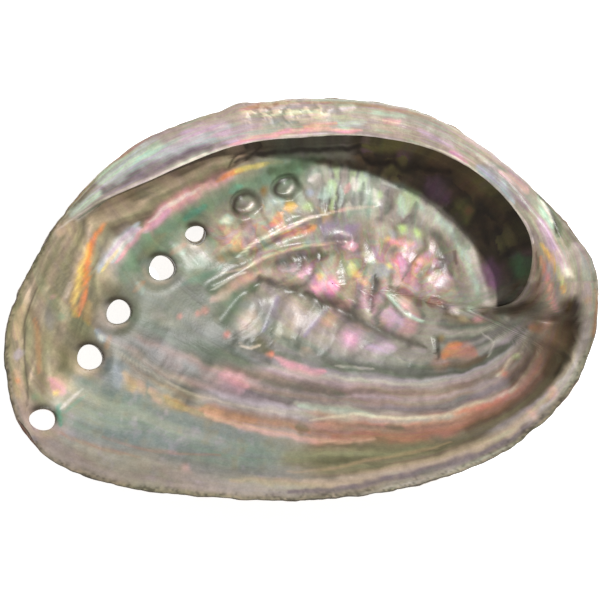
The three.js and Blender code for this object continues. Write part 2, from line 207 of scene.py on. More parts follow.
def scatter(i, j, seed):
    """An even spread of numbers from 0 to 1, one for each pair of whole numbers."""
    mixed = (i * 374761393 + j * 668265263 + seed * 974711) & 0x7FFFFFFF
    mixed = ((mixed ^ (mixed >> 13)) * 1274126177) & 0x7FFFFFFF
    return ((mixed ^ (mixed >> 16)) & 0xFFFF) / 65535


def noise(x, y, seed):
    """Smooth noise from -1 to 1 over a plane."""
    xi = np.floor(x).astype(np.int64)
    yi = np.floor(y).astype(np.int64)
    sx = ease(x - xi, 0, 1)
    sy = ease(y - yi, 0, 1)
    low = scatter(xi, yi, seed) * (1 - sx) + scatter(xi + 1, yi, seed) * sx
    high = scatter(xi, yi + 1, seed) * (1 - sx) + scatter(xi + 1, yi + 1, seed) * sx
    return 2 * (low * (1 - sy) + high * sy) - 1


def rough_noise(x, y, octaves, seed):
    """Noise with finer and fainter noise added to it, once for each octave after the first."""
    total = np.zeros_like(x)
    for k in range(octaves):
        total += noise(x * 2**k, y * 2**k, seed + 17 * k) / 2**k
    return total


def line_noise(x, octaves, seed):
    return rough_noise(x, np.zeros_like(x), octaves, seed)


def cells(x, y, seed):
    """A mosaic of one-unit cells: for each place, the distance to the border of its cell."""
    xi = np.floor(x).astype(np.int64)
    yi = np.floor(y).astype(np.int64)
    first = np.full(x.shape, 9.0)
    second = np.full(x.shape, 9.0)
    for di in (-1, 0, 1):
        for dj in (-1, 0, 1):
            i, j = xi + di, yi + dj
            distance = np.hypot(i + scatter(i, j, seed) - x, j + scatter(i, j, seed + 1) - y)
            second = np.minimum(second, np.maximum(first, distance))
            first = np.minimum(first, distance)
    return second - first


def curve_between(before, first, second, after, t):
    """A smooth curve from the first point to the second, which heeds the points before and after."""
    square = 2 * before - 5 * first + 4 * second - after
    cube = 3 * first - before - 3 * second + after
    return first + 0.5 * ((second - before) * t + square * t**2 + cube * t**3)


def around(rows, azimuth):
    """Values read smoothly round the shell from rows of (azimuth in degrees, values)."""
    rows = np.asarray(rows, float)
    keys = np.concatenate([rows[:, 0] - 360, rows[:, 0], rows[:, 0] + 360])
    values = np.vstack([rows[:, 1:]] * 3)
    angle = (azimuth - rows[0, 0]) % 360 + rows[0, 0]
    i = np.searchsorted(keys, angle, side="right") - 1
    span = (keys[i + 1] - keys[i])[:, None]
    t = (angle - keys[i])[:, None] / span
    slope_low = (values[i + 1] - values[i - 1]) / (keys[i + 1] - keys[i - 1])[:, None] * span
    slope_high = (values[i + 2] - values[i]) / (keys[i + 2] - keys[i])[:, None] * span
    return ((2 * t**3 - 3 * t**2 + 1) * values[i] + (t**3 - 2 * t**2 + t) * slope_low
            + (3 * t**2 - 2 * t**3) * values[i + 1] + (t**3 - t**2) * slope_high)


def polar_rows(points, middle, start=-33):
    rows = []
    for point in points:
        arm = np.array(point[:2]) - middle
        azimuth = math.degrees(math.atan2(arm[1], arm[0]))
        rows.append(((azimuth - start) % 360 + start, math.hypot(*arm), *point[2:]))
    return sorted(rows)


RIM_ROWS = polar_rows(RIM, BOWL)
EDGE_ROWS = polar_rows(SHELF_EDGE, BOWL)
RIM_ABOUT_APEX = [row[:2] for row in polar_rows(RIM, SPIRE_APEX)]


# The smooth form, as sections round the bowl.

def from_spire(azimuth):
    """Azimuths from -90 to 270 degrees, which run on without a break from the spire end over the shelf."""
    return (azimuth + 90) % 360 - 90


def shelf_share(azimuth, far_end, near_end=SHELF_SPIRE_END):
    turned = from_spire(azimuth)
    return ease(turned, *near_end) * (1 - ease(turned, *far_end))


def lip_radii(azimuth, rim_radius):
    band = around(LIP, azimuth)[:, 1]
    floor = [share * (rim_radius - band) for share in FLOOR_SHARES]
    flare = [rim_radius - band * share for share in BAND_SHARES]
    return np.stack(floor + flare, axis=1)


def lip_height(azimuth, radius, rim_radius, rim_height):
    """The height of the inside under the free lip, at each radius: a bowl with a flared band round it."""
    power, band, rise = around(LIP, azimuth).T[..., None]
    band_radius = rim_radius[:, None] - band
    band_height = rim_height[:, None] - rise
    bowl = np.minimum(radius / band_radius, 1) ** power
    flare = np.clip((radius - band_radius) / band, 0, 1) ** 0.8
    return FLOOR_THICKNESS + (band_height - FLOOR_THICKNESS) * bowl + rise * flare


def shelf_inside(azimuth, rim_radius, rim_height):
    """The section under and over the shelf: floor, hollow, edge, crest, groove and margin."""
    edge_radius, edge_height = around(EDGE_ROWS, azimuth).T
    reach, hollow_height, power = around(HOLLOW, azimuth).T
    crest_at, groove_at, rise, drop = around(SHELF_TOP, azimuth).T
    stepped = ease(from_spire(azimuth), *SHELF_STEP_END)
    run = SHELF_END_RUN * (1 - stepped)
    wall_height = edge_height + (hollow_height - edge_height) * stepped - 0.5 * run
    wall_radius = edge_radius + reach - run
    width = rim_radius - edge_radius
    points = []
    for share in UNDER_SHELF_SHARES:
        height = FLOOR_THICKNESS + (wall_height - FLOOR_THICKNESS) * share**power
        points.append((share * wall_radius, height))
    crest = edge_height + rise
    step = np.clip(0.2 * (edge_height - wall_height), 0, 0.9)
    return points + [
        (wall_radius, wall_height),
        (wall_radius + 0.45 * (edge_radius - wall_radius),
         wall_height + (0.45 + 0.27 * stepped) * (edge_height - wall_height)),
        (edge_radius, edge_height - step),
        (edge_radius + 0.5 + run, edge_height + 0.6 * run),
        (edge_radius + crest_at * width, crest),
        (edge_radius + groove_at * width, crest - drop),
        (rim_radius, rim_height),
    ]


def back_of(azimuth, rim_radius, rim_height):
    """The back from the margin to the crown: sloping under the free lip, steep behind the shelf."""
    power = around(LIP, azimuth)[:, 0]
    run_power, drop_power = STEEP_SIDE_POWERS
    steepness = shelf_share(azimuth, STEEP_SIDE_END)
    points = []
    for share in BACK_SHARES:
        sloping = share**power
        steep = 1 - (1 - share**run_power) ** (1 / drop_power)
        height = (rim_height - LIP_THICKNESS) * (sloping + steepness * (steep - sloping)) - REST_FLAT_DEPTH
        points.append((share * rim_radius, height))
    return points


def stacked(points):
    return np.stack([np.stack(np.broadcast_arrays(r, z), axis=-1) for r, z in points], axis=1)


def inside_of(azimuth, rim_radius, rim_height):
    """The inside as (radius, height): the lip's own surface, with the shelf raised on it."""
    shelf_radius, shelf_height = np.moveaxis(stacked(shelf_inside(azimuth, rim_radius, rim_height)), -1, 0)
    share = shelf_share(azimuth, SHELF_TIP_END)[:, None]
    radius = lip_radii(azimuth, rim_radius) * (1 - share) + shelf_radius * share
    raised = shelf_height - lip_height(azimuth, shelf_radius, rim_radius, rim_height)
    height = lip_height(azimuth, radius, rim_radius, rim_height) + raised * share
    return np.stack([radius, height], axis=-1)


def sections(azimuth):
    """Each azimuth's section as rings of (radius, height), from the bowl over the margin to the crown."""
    rim_radius, rim_height = around(RIM_ROWS, azimuth).T
    inside = inside_of(azimuth, rim_radius, rim_height)
    profile = np.concatenate([inside, stacked(back_of(azimuth, rim_radius, rim_height))], axis=1)
    last = profile.shape[1] - 1
    rings = []
    for i, count in enumerate(FLOOR_STEPS + WALL_STEPS + SHELF_STEPS + BACK_STEPS):
        corners = [profile[:, min(max(k, 0), last)] for k in (i - 1, i, i + 1, i + 2)]
        rings += [curve_between(*corners, t) for t in np.arange(count) / count]
    return np.stack(rings, axis=0)


def even_azimuths(count):
    fine = np.linspace(0, 360, 4001)
    radius = around(RIM_ROWS, fine)[:, 0]
    x, y = radius * np.cos(np.radians(fine)), radius * np.sin(np.radians(fine))
    length = np.concatenate([[0], np.cumsum(np.hypot(np.diff(x), np.diff(y)))])
    return np.interp(np.arange(count) / count * length[-1], length, fine)


WALL_RING = sum(FLOOR_STEPS) + WALL_STEPS[0]
EDGE_RING = sum(FLOOR_STEPS) + sum(WALL_STEPS)
RIM_RING = EDGE_RING + sum(SHELF_STEPS)


class Skin:
    """The skin as a grid of points, ring by ring, with what each point needs to know of its place."""

    def __init__(self):
        self.azimuth = even_azimuths(POINTS_AROUND)
        rings = sections(self.azimuth)
        turn = np.radians(self.azimuth)
        self.radius = rings[..., 0]
        self.points = np.stack([
            BOWL[0] + self.radius * np.cos(turn),
            BOWL[1] + self.radius * np.sin(turn),
            rings[..., 1],
        ], axis=-1)
        self.ring = np.arange(len(rings))[:, None] * np.ones(POINTS_AROUND)
        self.inside = self.ring <= RIM_RING
        self.rim_radius = around(RIM_ROWS, self.azimuth)[:, 0]
        self.rim_share = self.radius / self.rim_radius
        share = shelf_share(self.azimuth, SHELF_TIP_END)
        self.on_shelf = ease(self.ring, EDGE_RING, EDGE_RING + 4) * share * self.inside
        self.shelf_face = self.on_shelf * shelf_share(self.azimuth, SHELF_TIP_END, SHELF_PAINT_END)
        self.edge_radius = self.radius[EDGE_RING]
        self.under_shelf = (self.ring < EDGE_RING) * (self.radius > self.edge_radius - UNDER_EDGE) * share
        self.unrolled = self.roll_out()
        self.margin_size, self.margin_azimuth = margin_place(*self.growth_plan())

    def roll_out(self):
        """Plan places with the back rolled out flat from its crown, so steep sides keep their length."""
        steps = np.hypot(np.diff(self.radius, axis=0), np.diff(self.points[..., 2], axis=0))
        from_crown = np.cumsum(steps[::-1], axis=0)[::-1]
        reach = np.vstack([from_crown, np.zeros((1, POINTS_AROUND))])
        reach = np.where(self.inside, self.radius, reach)
        turn = np.radians(self.azimuth)
        return BOWL[0] + reach * np.cos(turn), BOWL[1] + reach * np.sin(turn)

    def growth_plan(self):
        """Places to read growth from: plan inside, and on the back rolled out to the margin's size."""
        x, y = self.unrolled
        whole = np.hypot(x[RIM_RING + 1] - BOWL[0], y[RIM_RING + 1] - BOWL[1])
        shrink = np.where(self.inside, 1, self.radius[RIM_RING] / whole)
        return BOWL[0] + (x - BOWL[0]) * shrink, BOWL[1] + (y - BOWL[1]) * shrink

    def normals(self):
        outward = np.gradient(self.points, axis=0)
        along = np.roll(self.points, -1, axis=1) - np.roll(self.points, 1, axis=1)
        normal = np.cross(outward, along)
        normal[0] = (0, 0, 1)
        return normal / np.maximum(np.linalg.norm(normal, axis=-1, keepdims=True), 1e-9)

    def move(self, height):
        self.points = self.points + self.normals() * height[..., None]

    def sheet(self):
        """Where each point lies on the plan sheet. Points under the shelf take the place of its edge."""
        scale = (EYE_HEIGHT - SHEET_HEIGHT) / (EYE_HEIGHT - self.points[..., 2]) / SHEET_UNIT
        hidden = self.under_shelf > 0.5
        x, y = self.points[..., 0], self.points[..., 1]
        pull = np.where(hidden, (self.edge_radius - UNDER_EDGE) / np.maximum(self.radius, 1), 1)
        x = BOWL[0] + (x - BOWL[0]) * pull
        y = BOWL[1] + (y - BOWL[1]) * pull
        return SHEET_MIDDLE[0] + x * scale, SHEET_MIDDLE[1] - y * scale


# Routes on a plane, for strokes of paint and relief.

def smooth_route(points, steps=6):
    knots = np.asarray(points, float)
    if len(knots) < 3:
        return knots
    ends = 2 * knots[[0, -1]] - knots[[1, -2]]
    padded = np.vstack([ends[:1], knots, ends[1:]])
    t = (np.arange(steps) / steps)[:, None]
    corners = zip(padded, padded[1:], padded[2:], padded[3:])
    return np.vstack([curve_between(*four, t) for four in corners] + [knots[-1:]])


def route_distance(x, y, points):
    """Distance from each place to a route, and how far along it the nearest point is, from 0 to 1."""
    route = smooth_route(points)
    if len(route) == 1:
        return np.hypot(x - route[0, 0], y - route[0, 1]), np.zeros_like(x)
    best = np.full(x.shape, 1e9)
    along = np.zeros_like(x)
    count = len(route) - 1
    for i, (a, b) in enumerate(zip(route, route[1:])):
        step = b - a
        t = np.clip(((x - a[0]) * step[0] + (y - a[1]) * step[1]) / max(step @ step, 1e-9), 0, 1)
        distance = np.hypot(x - a[0] - t * step[0], y - a[1] - t * step[1])
        nearer = distance < best
        best = np.where(nearer, distance, best)
        along = np.where(nearer, (i + t) / count, along)
    return best, along


def margin_place(x, y, rounds=24, pull=0.4):
    """The size of the earlier margin through each plan point, and the azimuth along that margin. Each
    earlier margin is today's one shrunk about the apex and turned back with the growing whorl. The size
    settles in a few rounds."""
    dx, dy = x - SPIRE_APEX[0], y - SPIRE_APEX[1]
    reach = np.maximum(np.hypot(dx, dy), 0.3).ravel()
    azimuth = (np.degrees(np.arctan2(dy, dx)).ravel() + 10) % 360 - 10
    size = np.ones_like(reach)
    for _ in range(rounds):
        turned = azimuth - 360 * np.log(size) / math.log(GROWTH_PER_TURN)
        size += pull * (np.maximum(reach / around(RIM_ABOUT_APEX, turned)[:, 0], 0.02) - size)
    turned = azimuth - 360 * np.log(size) / math.log(GROWTH_PER_TURN)
    return size.reshape(x.shape), turned.reshape(x.shape)


def growth_place(skin):
    """Where each point lies across and along the grain, in streaks, and how clear the grain is there. On
    the shelf it follows the shelf, and by the spire, where it crowds, it is faint."""
    reach = around(RIM_ABOUT_APEX, skin.margin_azimuth.ravel())[:, 0].reshape(skin.radius.shape)
    across_shelf = (skin.radius - skin.edge_radius) / (skin.rim_radius - skin.edge_radius)
    shelf = skin.shelf_face > SHELF_GRAIN_SHARE
    across = np.where(shelf, SHELF_STREAKS * across_shelf, BOWL_STREAKS * skin.margin_size)
    along = np.where(shelf, skin.azimuth / SHELF_STREAK_RUN, skin.margin_azimuth / BOWL_STREAK_RUN)
    clear = np.where(shelf, 0.8, np.clip((reach - 30) / 80, 0.1, 1))
    from_seam = abs(skin.shelf_face - SHELF_GRAIN_SHARE)
    return np.stack([across, along, clear * ease(from_seam, 0, 0.25)], axis=-1)


# Relief inside the bowl, on the plan sheet: height in mm, half-width and route in sheet units.
INSIDE_RELIEF = [
    (0.7, 5, [(212, 287), (230, 278), (251, 266), (272, 253), (291, 246), (312, 243), (345, 241)]),
    (0.55, 4, [(248, 250), (268, 238), (286, 227), (305, 220), (330, 214), (352, 209), (376, 207)]),
    (-0.6, 10, [(268, 270), (279, 260), (306, 256), (330, 253)]),
    (-1.1, 9, [(258, 284), (287, 290), (315, 299), (334, 307), (362, 321), (400, 339), (425, 348)]),
    (-0.6, 7, [(222, 317), (240, 296), (260, 283)]),
    (-0.5, 6, [(277, 299), (264, 332)]),
    (-0.4, 6, [(327, 310), (303, 335)]),
    (0.5, 10, [(250, 308), (240, 326)]),
    (0.5, 11, [(290, 308), (300, 322)]),
    (0.5, 10, [(332, 322), (353, 338), (385, 347)]),
    (-0.5, 9, [(284, 335), (306, 351), (334, 360), (376, 367), (420, 370)]),
    (0.4, 12, [(180, 356), (233, 381), (258, 388), (292, 404)]),
    (0.5, 10, [(320, 395), (380, 402), (440, 398), (490, 380)]),
    (-0.9, 6, [(374, 276), (374, 292), (372, 308)]),
    (0.7, 4, [(383, 291), (394, 303), (405, 314)]),
    (0.9, 12, [(335, 275), (332, 292)]),
    (0.8, 10, [(362, 262), (358, 280)]),
    (1.0, 11, [(398, 255), (418, 274), (430, 288)]),
    (-0.7, 8, [(437, 240), (446, 256), (452, 276)]),
    (0.6, 12, [(452, 228), (464, 252), (478, 286)]),
    (-0.8, 10, [(345, 230), (352, 233)]),
    (0.6, 4, [(330, 410), (371, 416), (402, 419), (446, 415), (467, 406), (495, 398), (522, 380),
              (540, 350)]),
    (-0.5, 5, [(302, 428), (394, 429), (450, 427), (498, 409), (536, 374), (548, 350)]),
    (1.0, 4, [(429, 301), (437, 304)]),
    (1.2, 5, [(456, 311)]),
    (1.2, 5, [(471, 308)]),
    (1.1, 5, [(483, 311)]),
    (0.9, 4, [(464, 320)]),
    (0.9, 4, [(478, 321)]),
    (-1.2, 2.5, [(435, 338), (436, 346), (436, 356)]),
]

# On the plan sheet too: where the end of the shelf runs out smoothly over the floor, the furrow along the
# shelf and its crusted patch.
SHELF_ROOT = [(476, 312), (520, 332), (575, 354)]
SHELF_FURROW = [(100, 190), (147, 171), (201, 151), (216, 146)]
SHELF_CRUST = [(250, 114), (285, 112), (320, 112)]


def keel_relief(x, y):
    """The ridge along the keel. Inside it is a channel of the same form."""
    distance, _ = route_distance(x, y, KEEL)
    return KEEL_HEIGHT * bell(distance, KEEL_HALF_WIDTH)


def hole_gap(x, y, hole):
    """Distance outwards from the side of an open hole."""
    return np.hypot(x - hole.x, y - hole.y) - 0.5 * (hole.half_width + hole.half_depth)


def pit_place(x, y, pit):
    """Distance from the middle of a sealed hole, in its own uneven radius, and how it faces the shelf."""
    dx, dy = x - pit.x, y - pit.y
    along = KEEL_RUN[0] * dx + KEEL_RUN[1] * dy
    across = KEEL_RUN[0] * dy - KEEL_RUN[1] * dx
    uneven = 1 + 0.12 * noise(x / 2.2, y / 2.2, seed=129)
    away = np.hypot(along / PIT_STRETCH[0], across / PIT_STRETCH[1]) / pit.radius * uneven
    return away, (across - 0.5 * along) / np.maximum(np.hypot(dx, dy), 0.1)


def pit_relief(x, y, pit):
    """A blind pit with a low rim and a pearly middle."""
    away, _ = pit_place(x, y, pit)
    sunk = 1 - ease(away, 0.6, 1.25)
    return PEARL_HEIGHT * bell(away, 0.55) - PIT_DEPTH * sunk + PIT_RIM_HEIGHT * bell(away - 1.35, 0.22)


def strip_relief(u, v, strip):
    across, along, within, _ = strip_place(u, v, strip)
    return strip.rise * within * (strip_ribs(across, along, strip) + facet_relief(across, along, strip))


def inside_relief(skin):
    """The channel, funnels, pits, ridges and ribs of the bowl, which fade where the shelf covers them."""
    x, y = skin.points[..., 0], skin.points[..., 1]
    u, v = skin.sheet()
    height = -keel_relief(x, y)
    for hole in OPEN_HOLES:
        height -= FUNNEL_DEPTH * bell(np.maximum(hole_gap(x, y, hole), 0), FUNNEL_WIDTH)
    for pit in SEALED_HOLES:
        height += pit_relief(x, y, pit)
    for rise, half_width, route in INSIDE_RELIEF:
        height += rise * bell(route_distance(u, v, route)[0], half_width)
    for strip in STRIPS:
        height += strip_relief(u, v, strip)
    height += 0.12 * rough_noise(u / 30, v / 30, octaves=3, seed=8)
    root = bell(route_distance(u, v, SHELF_ROOT)[0], 14)
    return height * (1 - skin.on_shelf) * (1 - root) * (1 - 0.7 * (skin.under_shelf > 0))


def shelf_crust(u, v):
    """Crumbs of lime on the shelf, from 0 where it is bare to 1 where it is crusted."""
    patch = bell(route_distance(u, v, SHELF_CRUST)[0], 10)
    return patch * ease(rough_noise(u / 6, v / 4, octaves=3, seed=9), 0.0, 0.25)


def shelf_relief(skin):
    """The furrow along the shelf, its crusted patch and fine waviness."""
    u, v = skin.sheet()
    furrow = bell(route_distance(u, v, SHELF_FURROW)[0], 6)
    waves = 0.1 * rough_noise(u / 14, v / 14, octaves=3, seed=21)
    return (waves - FURROW_DEPTH * furrow + CRUMB_HEIGHT * shelf_crust(u, v)) * skin.shelf_face


def growth_lines(skin):
    """Fine growth lines that follow earlier margins, on the walls and the lip inside."""
    lines = rough_noise(skin.margin_size * 90, skin.margin_azimuth / 40, octaves=3, seed=31)
    wall = ease(skin.rim_share, 0.55, 0.85) * (1 - 0.6 * skin.shelf_face)
    return GROWTH_LINE_HEIGHT * lines * wall * skin.inside


def whorl_place(x, y):
    """Distance from the spire's apex, the place across its whorl from 0 to 1, and how far it counts."""
    dx, dy = x - SPIRE_APEX[0], y - SPIRE_APEX[1]
    r = np.maximum(np.hypot(dx, dy), 0.4)
    turns = (np.degrees(np.arctan2(dy, dx)) % 360 - SPIRE_GROOVE_AZIMUTH) / 360
    whorl = np.log(r / SPIRE_RADIUS) / math.log(GROWTH_PER_TURN) - turns
    return r, whorl % 1, 1 - ease(r, SPIRE_RADIUS * 0.75, SPIRE_RADIUS * 1.25)


def spire_relief(x, y):
    r, whorl, in_spire = whorl_place(x, y)
    bulge = np.sin(np.pi * whorl) ** 0.6 - 0.6
    return SPIRE_DOME * bell(r, SPIRE_RADIUS * 0.8) + WHORL_BULGE * r * bulge * in_spire


def growth_step(size, along):
    """How high each place stands on the back's yearly steps, from 0 in the grooves to 1 at the lips."""
    waver = 0.35 * noise(along / 16, size * 6, seed=41) + 0.06 * noise(along / 4, size * 18, seed=42)
    place = (size * YEARLY_STEPS + waver) % 1
    return ease(place, 0, 0.7) * (1 - ease(place, 0.7, 1))


def crust_patches(skin, start):
    """Where lime crusts the back, from 0 to 1. A low start makes the patches wide."""
    x, y = skin.unrolled
    return ease(noise(x / CRUST_PATCH, y / CRUST_PATCH, seed=49), start, 0.5)


def growth_relief(skin):
    """The steps, cords and crust that growth leaves on the back."""
    size, along = skin.margin_size, skin.margin_azimuth
    x, y = skin.unrolled
    height = STEP_HEIGHT * (growth_step(size, along) - 0.4)
    cords = np.sin(np.radians(along) * CORDS + 0.8 * noise(size * 20, along / 20, seed=43))
    height += CORD_HEIGHT * cords * (0.6 + 0.4 * noise(size * 30, along / 5, seed=44))
    height += 0.3 * rough_noise(x / 6, y / 6, octaves=4, seed=47)
    border = cells(x / CRUST_CELL, y / CRUST_CELL, seed=131)
    return height + CRUST_HEIGHT * crust_patches(skin, 0.1) * ease(border, 0.05, 0.5)


def back_relief(skin):
    """The keel, spire, collars, knobs and growth of the back, faint at the crown and by the margin."""
    x, y = skin.points[..., 0], skin.points[..., 1]
    height = keel_relief(x, y) + spire_relief(x, y)
    for hole in OPEN_HOLES:
        height += hole.collar * bell(np.maximum(hole_gap(x, y, hole) - 0.5, 0), COLLAR_WIDTH)
    for knob_x, knob_y in KNOBS:
        height += KNOB_HEIGHT * bell(np.hypot(x - knob_x, y - knob_y), KNOB_RADIUS)
    height += growth_relief(skin)
    fade = ease(skin.rim_share, 0.2, 0.45) * (1 - 0.7 * ease(skin.ring - RIM_RING, 10, 0))
    return height * fade * (~skin.inside)


def fray_margin(skin):
    """Small chips and flakes along the free lip, and the lump of crust."""
    turn = np.radians(skin.azimuth)
    arc = turn * MEAN_RADIUS
    flakes = np.maximum(line_noise(arc / 1.7, octaves=1, seed=67), 0)
    chips = CHIP_DEPTH * line_noise(arc / 4.5, octaves=3, seed=61) - FLAKE_DEPTH * flakes
    free = 1 - 0.7 * shelf_share(skin.azimuth, SHELF_TIP_END)
    near = bell((1 - skin.rim_share) * skin.rim_radius, 1.6)
    lump = bell(np.hypot(skin.points[..., 0] - LUMP[0], skin.points[..., 1] - LUMP[1]), LUMP_RADIUS)
    push = chips * free * near + LUMP_HEIGHT * lump
    skin.points[..., 0] += push * np.cos(turn)
    skin.points[..., 1] += push * np.sin(turn)
    skin.points[..., 2] += FLAKE_DEPTH * near * free * line_noise(arc / 9, octaves=2, seed=71)


# Colours, as they show in daylight.

def linear(code):
    channels = np.array([int(code[i : i + 2], 16) for i in (1, 3, 5)]) / 255
    return np.where(channels <= 0.04045, channels / 12.92, ((channels + 0.055) / 1.055) ** 2.4)


COLOURS = {
    "white": "#f0ece2", "cream": "#ddd2bc", "pearl": "#bcb7ac", "fog": "#a5a297", "ash": "#8f8e8a",
    "shelf grey": "#aaa598", "slate": "#6c7167", "valley": "#5b594c",
    "lavender": "#b8b1b6", "lilac": "#cdb6cc", "violet": "#9f97ae", "mauve": "#746a70",
    "dove": "#8f8486", "blush": "#bda9ab", "sky": "#aebccb",
    "mint": "#bcd6c6", "sea grey": "#82918a", "deep sea": "#6c7f7c", "teal": "#5ea48c",
    "green": "#76967a", "sage": "#7e8474", "deep green": "#55694f", "lime": "#bfe49c",
    "olive": "#8d8a6c", "dark olive": "#6d6a4e", "tan": "#c2a988", "sand": "#b3a48c", "earth": "#857860",
    # The near-black among these is used only for painted shade and shadow.
    "umber": "#6b5a48", "brown": "#54452f", "bark": "#352b1c", "shade black": "#1f1b14",
    "rust": "#9f7357", "brick": "#b5836f", "rosewood": "#a38d83", "russet": "#8a4f3c", "gold": "#9c7b40",
    "amber": "#edc25e", "yellow": "#eedc7c", "orange": "#e78e48",
    "salmon": "#e3b6a6", "coral": "#e98d76", "pink": "#eaa9b2", "rose": "#e9b0cf", "magenta": "#ea8cc6",
    "lime crust": "#c3bba6",
    # Colours for the hollow under the shelf, darkened as painted shade. The green one also tints the wall
    # behind the shelf's edge as plain nacre.
    "cave": "#6e5a3e", "cave olive": "#85834f", "cave violet": "#80607a", "cave green": "#5f8a63",
    "cave shadow": "#33271a",
}

# The contrast of the paint, what the scar adds to it, and the tone that it leaves as it is.
CONTRAST = 1.12
SCAR_CONTRAST = 0.35
MID_TONE = 0.36
# How far the edges of strips and strokes are pushed about, in sheet units: for strokes a share of their
# half-width, up to a limit. A stroke ends at its reach, in half-widths.
STRIP_BEND = 1.6
STROKE_BEND = 0.45
STROKE_BEND_LIMIT = 2.6
STROKE_REACH = 2.2

# Paint on the plan sheet: colour, strength, half-width and route in sheet units. Washes come first.
WASHES = [
    ("sea grey", 1.0, 75, [(90, 420), (170, 440), (260, 455)]),
    ("deep sea", 0.8, 34, [(84, 404), (112, 396), (116, 366)]),
    ("sage", 0.85, 36, [(118, 292), (160, 298), (205, 314), (235, 345), (262, 362)]),
    ("sage", 0.7, 18, [(225, 266), (266, 262)]),
    ("olive", 0.8, 40, [(75, 235), (50, 300), (42, 350), (35, 400)]),
    ("green", 0.8, 24, [(125, 275), (160, 238), (200, 212), (250, 186), (300, 168)]),
    ("fog", 0.7, 45, [(230, 330), (300, 320), (350, 345)]),
    # Painted shade over the floor at the lower left, where it faces the light.
    ("slate", 0.6, 30, [(140, 335), (190, 350), (240, 362)]),
    ("ash", 0.8, 40, [(240, 380), (330, 385), (430, 390), (500, 370)]),
    ("olive", 0.8, 20, [(290, 458), (380, 455), (450, 440), (510, 410)]),
    # Painted shade down the right wall, which faces away from the light.
    ("brown", 0.9, 24, [(556, 290), (562, 330), (552, 375), (530, 400)]),
    ("umber", 0.7, 26, [(525, 320), (530, 350), (512, 380)]),
    ("fog", 0.9, 12, [(590, 270), (590, 310), (584, 345), (566, 380), (535, 412), (480, 447), (400, 474)]),
    ("earth", 0.9, 16, [(100, 214), (130, 200), (180, 178), (230, 158), (270, 146)]),
    # Painted shade over the hollow under the shelf.
    ("cave", 1.0, 34, [(395, 140), (450, 165), (500, 205), (522, 250), (520, 290)]),
]

